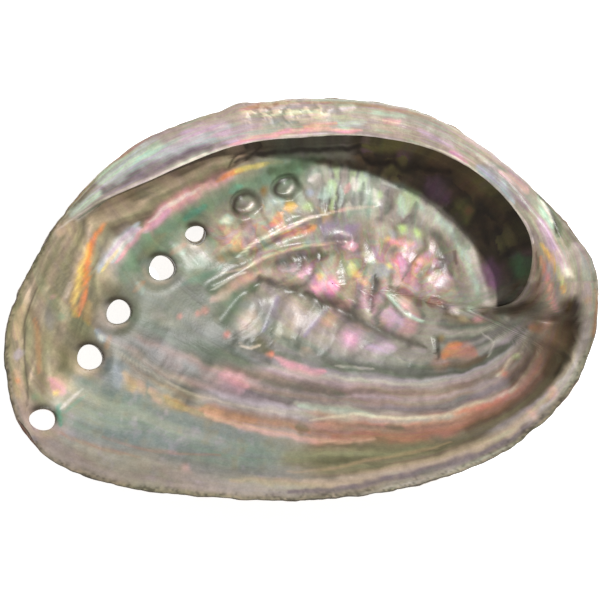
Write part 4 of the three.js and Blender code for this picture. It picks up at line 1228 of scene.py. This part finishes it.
class Weave:
    """The grain of the nacre: streaks and bands that follow earlier margins, and mottling."""

    def __init__(self, skin):
        u, v = skin.sheet()
        self.u, self.v = u, v
        across, along, clear = np.moveaxis(growth_place(skin), -1, 0)
        self.streak = rough_noise(across * 0.45, along * 0.43, octaves=3, seed=91) * clear
        self.band = rough_noise(skin.margin_size * 22, skin.margin_azimuth / 50, octaves=2, seed=93)
        self.mottle = rough_noise(u / 9, v / 9, octaves=3, seed=97)
        self.fine = noise(u / 4.5, v / 4.5, seed=99)

    def bent(self, amount):
        """Sheet places pushed about a little, so that the edges of strokes are uneven."""
        du = noise(self.u / 15, self.v / 15, seed=81) + 0.6 * noise(self.u / 6, self.v / 6, seed=83)
        dv = noise(self.u / 15, self.v / 15, seed=82) + 0.6 * noise(self.u / 6, self.v / 6, seed=84)
        return self.u + amount * du, self.v + amount * dv


def stroke_mask(u, v, half_width, route):
    """How strongly a stroke covers each place: full along its middle, thinner at its ends, and crisper at
    its edges the narrower it is."""
    distance, along = route_distance(u, v, route)
    taper = 1 if len(route) == 1 else 0.4 + 1.2 * np.sqrt(np.maximum(along * (1 - along), 0))
    crispness = np.clip(3.6 - 0.2 * half_width, 2.0, 3.2)
    return np.exp(-((distance / (half_width * taper)) ** crispness))


def lay_strokes(paint, weave, strokes, cover):
    """Strokes of paint laid over one another where the cover lets them show, broken up by the grain."""
    broken = np.clip(0.95 + 0.25 * weave.streak + 0.25 * weave.mottle, 0.45, 1)
    for colour, strength, half_width, route in strokes:
        u, v = weave.bent(min(STROKE_BEND_LIMIT, STROKE_BEND * half_width))
        reach = STROKE_REACH * half_width
        path = smooth_route(route)
        low, high = path.min(axis=0) - reach, path.max(axis=0) + reach
        near = np.nonzero((u > low[0]) & (u < high[0]) & (v > low[1]) & (v < high[1]) & (cover > 0.01))
        mask = strength * stroke_mask(u[near], v[near], half_width, route) * cover[near] * broken[near]
        paint[near] += (linear(COLOURS[colour]) - paint[near]) * mask[:, None]


def facet_place(across, along, strip):
    """Which facet of a strip each place lies on, by its number and row, and how far across the facet."""
    place = along * strip.facets + 0.3 * noise(across * 1.5, along * 5, seed=119) + 0.5 * across
    index = np.floor(place).astype(np.int64)
    row = np.floor(across * 2.2 + 0.4 * noise(along * 20, across * 2, seed=121)).astype(np.int64)
    return index, row, place - index


def facet_relief(across, along, strip):
    """The tilt of each facet and the furrows between facets, in the strip's own rise."""
    if not strip.facets:
        return 0
    index, row, place = facet_place(across, along, strip)
    from_gap = np.minimum(place, 1 - place)
    tilt = 2 * scatter(index, row, seed=127) - 1
    return 0.8 * ease(from_gap, 0, 0.2) + 2.5 * tilt * (place - 0.5)


def strip_facets(colour, across, along, strip):
    """Facets side by side along a strip, each with a colour of its own and a dark gap beside it."""
    index, row, place = facet_place(across, along, strip)
    pick = (scatter(index, row, seed=123) * 0.999 * len(strip.facet_colours)).astype(int)
    chosen = np.array([linear(COLOURS[name]) for name in strip.facet_colours])[pick]
    from_gap = np.minimum(place, 1 - place)
    share = strip.facet * ease(from_gap, 0.02, 0.3)
    dark = 1 - 0.8 * strip.facet * np.maximum(1 - from_gap / 0.36, 0) ** 1.6
    return (colour + (chosen - colour) * share[..., None]) * dark[..., None]


def lay_strips(paint, weave, cover):
    u, v = weave.bent(STRIP_BEND)
    for strip in STRIPS:
        across, along, within, width = strip_place(u, v, strip)
        across = np.clip(across + 0.05 * noise(along * 9, across * 4, seed=115), 0, 1)
        stops = np.linspace(0, 1, len(strip.colours))
        colours = np.array([linear(COLOURS[name]) for name in strip.colours])
        bands = np.stack([np.interp(across, stops, colours[:, k]) for k in range(3)], axis=-1)
        if strip.facets:
            bands = strip_facets(bands, across, along, strip)
        streaks = rough_noise(across * width / STREAK_WIDTH, along * 5, octaves=2, seed=117)
        shade = 1 + strip.streak * streaks + strip.rib * strip_ribs(across, along, strip)
        mask = strip.strength * within * cover
        paint += (bands * shade[..., None] - paint) * mask[..., None]


def tint(paint, mask, colour):
    paint += (linear(COLOURS[colour]) - paint) * mask[..., None]


def paint_holes(paint, skin):
    """Painted shade in the funnels of the holes on the side towards the shelf and painted light on their
    far side, and in the pits dark rings, darker towards the shelf, with a painted highlight.
    """
    x, y = skin.points[..., 0], skin.points[..., 1]
    for hole in OPEN_HOLES:
        dx, dy = x - hole.x, y - hole.y
        facing = (dx * TO_SHELF[0] + dy * TO_SHELF[1]) / np.maximum(np.hypot(dx, dy), 0.1)
        gap = hole_gap(x, y, hole)
        tint(paint, 0.9 * bell(gap, 1.1) * ease(facing, -0.2, 0.6) * skin.inside, "bark")
        # Painted light on the far side of each funnel.
        tint(paint, 0.5 * bell(gap - 0.6, 0.7) * ease(-facing, 0.0, 0.8) * skin.inside, "sand")
    for pit in SEALED_HOLES:
        away, facing = pit_place(x, y, pit)
        # Dark rings in the pits, deeper on the side towards the shelf as painted shade.
        tint(paint, (0.7 + 0.25 * facing) * bell(away - 0.85, 0.28) * skin.inside, "bark")
        tint(paint, 0.7 * bell(away, 0.5) * skin.inside, "ash")
        # A painted highlight in each pit.
        tint(paint, 0.9 * bell(away - 0.4, 0.16) * ease(-facing, 0.3, 1.0) * skin.inside, "white")


def paint_ground(paint, weave, inside, shelf):
    """Pale nacre with broad washes, soft bands of pink and green, mottling and streaks."""
    tint(paint, inside, "fog")
    lay_strokes(paint, weave, WASHES, inside)
    tint(paint, shelf, "shelf grey")
    low = ease(weave.v, 330, 400)
    floor = inside * (1 - 0.5 * shelf)
    tint(paint, (0.2 + 0.1 * low) * ease(weave.band, 0.05, 0.7) * floor, "salmon")
    tint(paint, (0.4 + 0.1 * low) * ease(-weave.band, 0.05, 0.7) * floor, "green")
    tint(paint, 0.2 * ease(weave.mottle, 0.3, 1.1) * inside, "lilac")
    tint(paint, 0.3 * ease(-weave.mottle, 0.3, 1.1) * inside, "olive")
    tint(paint, (0.25 + 0.1 * shelf) * ease(weave.streak, 0.2, 1.1) * inside, "cream")
    tint(paint, (0.3 + 0.1 * shelf) * ease(-weave.streak, 0.2, 1.1) * inside, "slate")
    left = (1 - ease(weave.u, 70, 130)) * (1 - ease(weave.v, 360, 430)) * inside
    tint(paint, 0.7 * ease(weave.streak, 0.0, 0.7) * left, "tan")
    tint(paint, 0.6 * ease(-weave.streak, 0.1, 0.7) * left, "dark olive")


def paint_margin(paint, skin, weave):
    """The worn edge of the dark outer layer round the free lip, with pale and dark specks."""
    free = 1 - 0.8 * shelf_share(skin.azimuth, SHELF_TIP_END)
    to_rim = (1 - skin.rim_share) * skin.rim_radius
    edge = bell(to_rim, 1.6 + 0.6 * weave.mottle) * free * skin.inside
    specks = noise(weave.u / 2.3, weave.v / 2.3, seed=125)
    tint(paint, 0.75 * edge, "dark olive")
    tint(paint, 0.5 * edge * ease(specks, 0.1, 0.7), "sand")
    tint(paint, 0.6 * edge * ease(-specks, 0.2, 0.7), "bark")
    tint(paint, 0.8 * bell(to_rim, 0.25) * free * skin.inside, "bark")


def paint_hidden_wall(paint, skin):
    """Plain nacre on the wall behind the shelf's edge, green and grey along its length."""
    deep = ease(skin.radius - skin.edge_radius, 1.6, 4.0)
    high = ease(skin.ring, WALL_RING, WALL_RING + 4)
    wall = np.maximum(deep, high) * (skin.under_shelf > 0.5)
    along, upward = np.broadcast_arrays(skin.azimuth / 30, skin.points[..., 2] / 3.5)
    grain = rough_noise(along, upward, octaves=3, seed=133)
    tint(paint, 0.85 * wall, "sage")
    tint(paint, 0.6 * wall * ease(grain, 0.0, 0.9), "fog")
    tint(paint, 0.6 * wall * ease(-grain, 0.0, 0.9), "cave green")


# The scar in the middle of the bowl, the brightest part of the nacre, and the shiny floor round it.
SCAR = [(322, 285), (370, 262), (425, 272)]
SCAR_HALF_WIDTH = 42
SHINY_FLOOR = [(240, 240), (330, 255), (430, 275)]
SHINY_HALF_WIDTH = 75


def scar_share(u, v):
    return bell(route_distance(u, v, SCAR)[0], SCAR_HALF_WIDTH)


def paint_inside(paint, skin):
    weave = Weave(skin)
    shelf = np.minimum(1, 2.5 * skin.shelf_face)
    inside = skin.inside.astype(float)
    bowl = inside * (1 - shelf)
    paint_ground(paint, weave, inside, shelf)
    lay_strips(paint, weave, bowl)
    lay_strokes(paint, weave, BOWL_PAINT, bowl)
    lay_strokes(paint, weave, SHELF_PAINT, shelf)
    tint(paint, 0.9 * shelf_crust(weave.u, weave.v) * shelf, "cream")
    lay_strokes(paint, weave, END_PAINT, inside)
    paint_hidden_wall(paint, skin)
    paint_holes(paint, skin)
    paint_margin(paint, skin, weave)
    shade = 1 + 0.12 * weave.streak + 0.1 * weave.fine
    paint *= np.where(skin.inside, np.clip(shade, 0.4, 1.6), 1)[..., None]
    contrast = CONTRAST + SCAR_CONTRAST * scar_share(weave.u, weave.v)[..., None]
    deepened = MID_TONE * (np.maximum(paint, 0) / MID_TONE) ** contrast
    np.copyto(paint, deepened, where=skin.inside[..., None])


def paint_back(paint, skin):
    """Red-brown and olive growth bands with pale lips and dark grooves, and patches of lime crust."""
    x, y = skin.unrolled
    size, along = skin.margin_size, skin.margin_azimuth
    back = (~skin.inside).astype(float)
    tint(paint, back, "umber")
    bands = rough_noise(size * 14, along / 60, octaves=3, seed=101)
    tint(paint, 0.75 * ease(bands, 0.0, 0.6) * back, "russet")
    tint(paint, 0.7 * ease(-bands, 0.1, 0.6) * back, "dark olive")
    step = growth_step(size, along)
    tint(paint, 0.5 * ease(step, 0.6, 1.0) * back, "tan")
    tint(paint, 0.6 * (1 - ease(step, 0.0, 0.35)) * back, "bark")
    crust = rough_noise(x / 5, y / 5, octaves=4, seed=103)
    tint(paint, 0.8 * crust_patches(skin, 0.0) * ease(crust, -0.2, 0.5) * back, "lime crust")
    tint(paint, 0.5 * ease(crust, 0.5, 1.0) * back, "sand")
    tint(paint, 0.5 * ease(-crust, 0.5, 1.0) * back, "bark")
    r, whorl, in_spire = whorl_place(skin.points[..., 0], skin.points[..., 1])
    groove = (1 - ease(np.minimum(whorl, 1 - whorl) * r, 0.3, 1.8)) * in_spire
    tint(paint, 0.8 * groove * back, "bark")
    worn = (1 - ease(skin.points[..., 2], 0.02, 0.5)) * back
    tint(paint, 0.35 * worn, "sand")


def lustre(skin):
    """The side of the shell, and how much the nacre flashes and shines at each point."""
    u, v = skin.sheet()
    scar = scar_share(u, v)
    shine = bell(route_distance(u, v, SHINY_FLOOR)[0], SHINY_HALF_WIDTH)
    flash = 0.1 + 0.12 * scar + 0.12 * skin.shelf_face
    shine = np.maximum(shine, 0.6 * skin.shelf_face)
    return np.stack([skin.inside, flash * skin.inside, shine * skin.inside], axis=-1)


def painted(skin):
    paint = np.zeros(skin.points.shape)
    paint_inside(paint, skin)
    paint_back(paint, skin)
    return paint


# The mesh.

def kept_points(skin):
    """The grid points that each ring of the mesh keeps: fewer on small rings and on the back."""
    rings = np.arange(len(skin.points))
    spacing = 2 * math.pi * skin.radius.mean(axis=1) / POINTS_AROUND
    wanted = np.where(rings <= RIM_RING, INSIDE_SPACING, BACK_SPACING)
    halvings = np.floor(np.log2(wanted / np.maximum(spacing, 0.001)))
    strides = 2 ** np.clip(halvings, 0, 4).astype(int)
    return [ring * POINTS_AROUND + np.arange(0, POINTS_AROUND, strides[ring]) for ring in rings[1:]]


def bridge(low, high):
    """Faces between two rings of points, of which one may have twice as many as the other."""
    if len(low) > len(high):
        return [face[::-1] for face in bridge(high, low)]
    after_low, after_high = np.roll(low, -1), np.roll(high, -1)
    if len(low) == len(high):
        return np.stack([low, high, after_high, after_low], axis=1).tolist()
    even, odd = high[::2], high[1::2]
    corners = [(low, even, odd), (low, odd, after_low), (after_low, odd, np.roll(even, -1))]
    return np.concatenate([np.stack(c, axis=1) for c in corners]).tolist()


def skin_mesh(skin, kept):
    points = skin.points.reshape(-1, 3)
    crown = np.array([[BOWL[0], BOWL[1], skin.points[-1, :, 2].mean()]])
    vertices = np.vstack([points[:1], points[np.concatenate(kept)], crown])
    ends = np.cumsum([1] + [len(ring) for ring in kept])
    rings = [np.arange(a, b) for a, b in zip(ends, ends[1:])]
    faces = []
    for low, high in zip(rings, rings[1:]):
        faces += bridge(low, high)
    first, last = rings[0], rings[-1]
    faces += np.stack([np.zeros_like(first), first, np.roll(first, -1)], axis=1).tolist()
    faces += np.stack([np.full_like(last, ends[-1]), np.roll(last, -1), last], axis=1).tolist()
    mesh = bpy.data.meshes.new("shell_skin")
    mesh.from_pydata((vertices * MM).tolist(), [], faces)
    return mesh


def skin_values(values, kept):
    """Values on the grid in the order of the mesh's points."""
    flat = values.reshape(-1, values.shape[-1])
    return np.concatenate([flat[:1], flat[np.concatenate(kept)], flat[-1:]])


def wall_at(skin, x, y):
    """The middle of the wall at a plan point, and the direction that it faces."""
    normals = skin.normals()
    found = []
    for side in (skin.inside, ~skin.inside):
        away = np.where(side, np.hypot(skin.points[..., 0] - x, skin.points[..., 1] - y), np.inf)
        nearest = np.unravel_index(np.argmin(away), away.shape)
        found.append((skin.points[nearest], normals[nearest]))
    (upper, upper_normal), (lower, lower_normal) = found
    facing = upper_normal - lower_normal
    return 0.5 * (upper + lower), facing / np.linalg.norm(facing)


def bore_points(skin, hole):
    """Rings of points down one oval bore, which leans with the wall and widens towards the inside."""
    middle, facing = wall_at(skin, hole.x, hole.y)
    axis = Vector(facing).lerp(Vector((0, 0, 1)), BORE_UPRIGHT)
    turn = np.array(Vector((0, 0, 1)).rotation_difference(axis).to_matrix())
    angles = np.arange(BORE_SEGMENTS) / BORE_SEGMENTS * 2 * math.pi
    wobble = 1 + 0.035 * np.sin(2 * angles + hole.x) + 0.03 * np.sin(3 * angles + hole.y)
    rings = []
    for level in BORE_LEVELS:
        scale = (BORE_SIZE + BORE_WIDENING * level) * wobble
        across, deep = hole.half_width * scale * np.cos(angles), hole.half_depth * scale * np.sin(angles)
        ring = np.stack([across, deep, np.full(BORE_SEGMENTS, level)], axis=1)
        rings.append(ring @ turn.T + middle)
    return np.vstack(rings)


def bore_faces(start):
    """Faces of one closed bore whose points are numbered from the start."""
    count = len(BORE_LEVELS)
    rings = start + np.arange(count * BORE_SEGMENTS).reshape(count, BORE_SEGMENTS)
    faces = []
    for low, high in zip(rings, rings[1:]):
        faces += np.stack([low, np.roll(low, -1), np.roll(high, -1), high], axis=1).tolist()
    return faces + [rings[0][::-1].tolist(), rings[-1].tolist()]


def bore_mesh(skin):
    points = np.vstack([bore_points(skin, hole) for hole in OPEN_HOLES])
    faces = []
    for i in range(len(OPEN_HOLES)):
        faces += bore_faces(i * len(BORE_LEVELS) * BORE_SEGMENTS)
    mesh = bpy.data.meshes.new("bores")
    mesh.from_pydata((points * MM).tolist(), [], faces)
    return mesh


def pierced(skin, kept):
    shell = bpy.data.objects.new("abalone_shell", skin_mesh(skin, kept))
    bores = bpy.data.objects.new("bores", bore_mesh(skin))
    for piece in (shell, bores):
        bpy.context.scene.collection.objects.link(piece)
    cut = shell.modifiers.new("bores", "BOOLEAN")
    cut.operation = "DIFFERENCE"
    cut.solver = "EXACT"
    cut.object = bores
    bpy.context.view_layer.update()
    done = bpy.data.meshes.new_from_object(shell.evaluated_get(bpy.context.evaluated_depsgraph_get()))
    shell.modifiers.clear()
    shell.data = done
    bpy.data.objects.remove(bores)
    return shell


def nearest_values(mesh, points, values):
    """Values for each point of a mesh from the nearest of the given points."""
    tree = KDTree(len(points))
    for i, p in enumerate(points):
        tree.insert(p, i)
    tree.balance()
    index = [tree.find(v.co)[1] for v in mesh.vertices]
    return values[index]


def store(mesh, name, kind, values):
    field = mesh.attributes.new(name, kind, "POINT")
    if kind == "FLOAT_COLOR":
        values = np.concatenate([values, np.ones((len(values), 1))], axis=1)
    slot = "color" if kind == "FLOAT_COLOR" else "vector"
    field.data.foreach_set(slot, values.astype(np.float32).ravel())


# Material.

class Nodes:
    """A material's nodes, added and joined up one at a time."""

    def __init__(self, material):
        material.use_nodes = True
        self.tree = material.node_tree
        self.shader = self.tree.nodes["Principled BSDF"]

    def add(self, kind, settings=None, **inputs):
        node = self.tree.nodes.new("ShaderNode" + kind)
        for name, value in (settings or {}).items():
            setattr(node, name, value)
        for name, value in inputs.items():
            self.feed(node.inputs[name.replace("_", " ")], value)
        return node

    def feed(self, socket, value):
        if isinstance(value, bpy.types.NodeSocket):
            self.tree.links.new(value, socket)
        else:
            socket.default_value = value

    def field(self, name):
        return self.add("Attribute", {"attribute_name": name})

    def math(self, operation, a, b):
        node = self.add("Math", {"operation": operation})
        self.feed(node.inputs[0], a)
        self.feed(node.inputs[1], b)
        return node.outputs[0]

    def mix(self, blend, factor, a, b):
        node = self.add("Mix", {"data_type": "RGBA", "blend_type": blend})
        self.feed(node.inputs["Factor"], factor)
        self.feed(node.inputs[6], a)
        self.feed(node.inputs[7], b)
        return node.outputs[2]

    def span(self, value, low, high, start=0.0, end=1.0):
        node = self.add("MapRange", Value=value, From_Min=start, From_Max=end, To_Min=low, To_Max=high)
        return node.outputs["Result"]

    def ramp(self, value, stops):
        node = self.add("ValToRGB", Fac=value)
        ramp = node.color_ramp
        while len(ramp.elements) < len(stops):
            ramp.elements.new(1)
        for element, (place, colour) in zip(ramp.elements, stops):
            element.position = place
            element.color = (*linear(COLOURS[colour]), 1)
        return node.outputs["Color"]


NACRE_FLASH = [(0.28, "teal"), (0.38, "lime"), (0.45, "yellow"), (0.52, "coral"), (0.6, "magenta"),
               (0.7, "violet")]


def nacre_colour(n, place, growth, flash, shine):
    """The paint, with hues that drift along the growth and flecks of them where the nacre shines."""
    drift = n.add("TexNoise", Vector=growth, Scale=0.4, Detail=4.0, Roughness=0.6, Distortion=1.0)
    flecks = n.add("TexNoise", Vector=place, Scale=200.0, Detail=1.0, Roughness=0.5, Distortion=1.2)
    drift_hues = n.ramp(drift.outputs["Fac"], NACRE_FLASH)
    fleck_hues = n.ramp(flecks.outputs["Fac"], NACRE_FLASH)
    base = n.mix("COLOR", flash, n.field("paint").outputs["Color"], drift_hues)
    return n.mix("COLOR", n.span(shine, 0.0, 0.3, 0.65, 1.0), base, fleck_hues)


def nacre_gloss(n, inside, shine, streak):
    """Roughness: dull on the back, smooth inside, smoothest where the nacre shines."""
    rough = n.math("ADD", n.span(inside, 0.65, 0.34), n.span(streak, 0.0, 0.2, -0.5, 0.5))
    return n.math("SUBTRACT", rough, n.math("MULTIPLY", n.span(shine, 0.0, 0.12), inside))


def nacre_material():
    material = bpy.data.materials.new("nacre")
    n = Nodes(material)
    place = n.add("TexCoord").outputs["Object"]
    growth = n.field("growth").outputs["Vector"]
    clear = n.add("SeparateXYZ", Vector=growth).outputs["Z"]
    marks = n.add("SeparateXYZ", Vector=n.field("marks").outputs["Vector"])
    inside, flash, shine = marks.outputs["X"], marks.outputs["Y"], marks.outputs["Z"]
    lines = n.add("TexNoise", Vector=growth, Scale=1.0, Detail=5.0, Roughness=0.6, Distortion=0.4)
    streak = n.math("MULTIPLY", n.math("SUBTRACT", lines.outputs["Fac"], 0.5), clear)
    grain = n.add("TexNoise", Vector=place, Scale=1500.0, Detail=3.0, Roughness=0.6).outputs["Fac"]
    crust = n.add("TexNoise", Vector=place, Scale=260.0, Detail=8.0, Roughness=0.68).outputs["Fac"]
    speckle = n.math("MULTIPLY", n.span(crust, 0.0, 0.7, 0.5, 0.66), n.span(inside, 1.0, 0.0))
    shade = n.math("ADD", n.span(streak, 0.65, 0.89, -0.2, 0.2), n.span(grain, 0.16, 0.34, 0.3, 0.7))
    base = n.mix("MULTIPLY", 1.0, nacre_colour(n, place, growth, flash, shine), shade)
    base = n.mix("MIX", speckle, base, (*linear(COLOURS["lime crust"]), 1))
    height = n.math("ADD", streak, n.math("MULTIPLY", grain, 0.35))
    height = n.math("ADD", height, n.math("MULTIPLY", speckle, 1.5))
    bump = n.add("Bump", Strength=n.span(inside, 1.0, 0.35), Distance=0.0003, Height=height)
    n.feed(n.shader.inputs["Base Color"], base)
    n.feed(n.shader.inputs["Roughness"], nacre_gloss(n, inside, shine, streak))
    n.feed(n.shader.inputs["Normal"], bump.outputs["Normal"])
    return material


def shaped_skin():
    skin = Skin()
    skin.move(np.where(skin.inside, inside_relief(skin) + shelf_relief(skin) + growth_lines(skin), 0))
    skin.move(back_relief(skin))
    fray_margin(skin)
    height = skin.points[..., 2]
    skin.points[..., 2] = np.where(skin.inside, height, np.maximum(height, 0))
    return skin


def build_shell():
    skin = shaped_skin()
    fields = np.concatenate([painted(skin), growth_place(skin), lustre(skin)], axis=-1)
    kept = kept_points(skin)
    shell = pierced(skin, kept)
    mesh = shell.data
    values = nearest_values(mesh, skin_values(skin.points, kept) * MM, skin_values(fields, kept))
    store(mesh, "paint", "FLOAT_COLOR", values[:, :3])
    store(mesh, "growth", "FLOAT_VECTOR", values[:, 3:6])
    store(mesh, "marks", "FLOAT_VECTOR", values[:, 6:9])
    mesh.materials.clear()
    mesh.materials.append(nacre_material())
    mesh.shade_smooth()
    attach(shell, "root")
    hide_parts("shell")


# Floor, light and camera, in metres.
FLOOR_Z = -0.00002
FLOOR_REACH = 3.0
FLOOR_GREY = (0.9, 0.9, 0.9, 1)
FLOOR_GLOW = 0.75
WHITE_LIGHT = (1, 1, 1, 1)
SKY_STRENGTH = 0.35
KEY_PLACE = Vector((0.52, 0.28, 1.157))
KEY_TARGET = Vector((0, 0, 0.02))
KEY_SIZE = 0.05
KEY_POWER = 14
SENSOR_WIDTH = 36


def build_stage():
    mesh = bpy.data.meshes.new("floor")
    signs = [(-1, -1), (1, -1), (1, 1), (-1, 1)]
    corners = [(i * FLOOR_REACH, j * FLOOR_REACH, FLOOR_Z) for i, j in signs]
    mesh.from_pydata(corners, [], [(0, 1, 2, 3)])
    floor = bpy.data.objects.new("floor", mesh)
    bpy.context.scene.collection.objects.link(floor)
    material = bpy.data.materials.new("floor")
    material.use_nodes = True
    shader = material.node_tree.nodes["Principled BSDF"]
    shader.inputs["Base Color"].default_value = FLOOR_GREY
    shader.inputs["Roughness"].default_value = 0.9
    shader.inputs["Emission Color"].default_value = WHITE_LIGHT
    shader.inputs["Emission Strength"].default_value = FLOOR_GLOW
    mesh.materials.append(material)


def build_light():
    data = bpy.data.lights.new("key", "AREA")
    data.shape = "DISK"
    data.size = KEY_SIZE
    data.energy = KEY_POWER
    key = bpy.data.objects.new("key", data)
    bpy.context.scene.collection.objects.link(key)
    key.location = KEY_PLACE
    key.rotation_euler = (KEY_TARGET - KEY_PLACE).to_track_quat("-Z", "Y").to_euler()
    world = bpy.data.worlds.new("studio")
    world.use_nodes = True
    sky = world.node_tree.nodes["Background"]
    sky.inputs["Color"].default_value = WHITE_LIGHT
    sky.inputs["Strength"].default_value = SKY_STRENGTH
    bpy.context.scene.world = world


def build_camera():
    """A camera straight above the sheet that frames all of it."""
    data = bpy.data.cameras.new("camera")
    data.sensor_width = SENSOR_WIDTH
    data.sensor_fit = "HORIZONTAL"
    camera = bpy.data.objects.new("camera", data)
    bpy.context.scene.collection.objects.link(camera)
    camera.location = (0, 0, EYE_HEIGHT * MM)
    data.lens = SENSOR_WIDTH * (EYE_HEIGHT - SHEET_HEIGHT) / (SHEET_SIZE * SHEET_UNIT)
    data.shift_x = 0.5 - SHEET_MIDDLE[0] / SHEET_SIZE
    data.shift_y = SHEET_MIDDLE[1] / SHEET_SIZE - 0.5
    bpy.context.scene.camera = camera


build_shell()
build_stage()
build_light()
build_camera()
bpy.context.scene.view_settings.view_transform = "Standard"
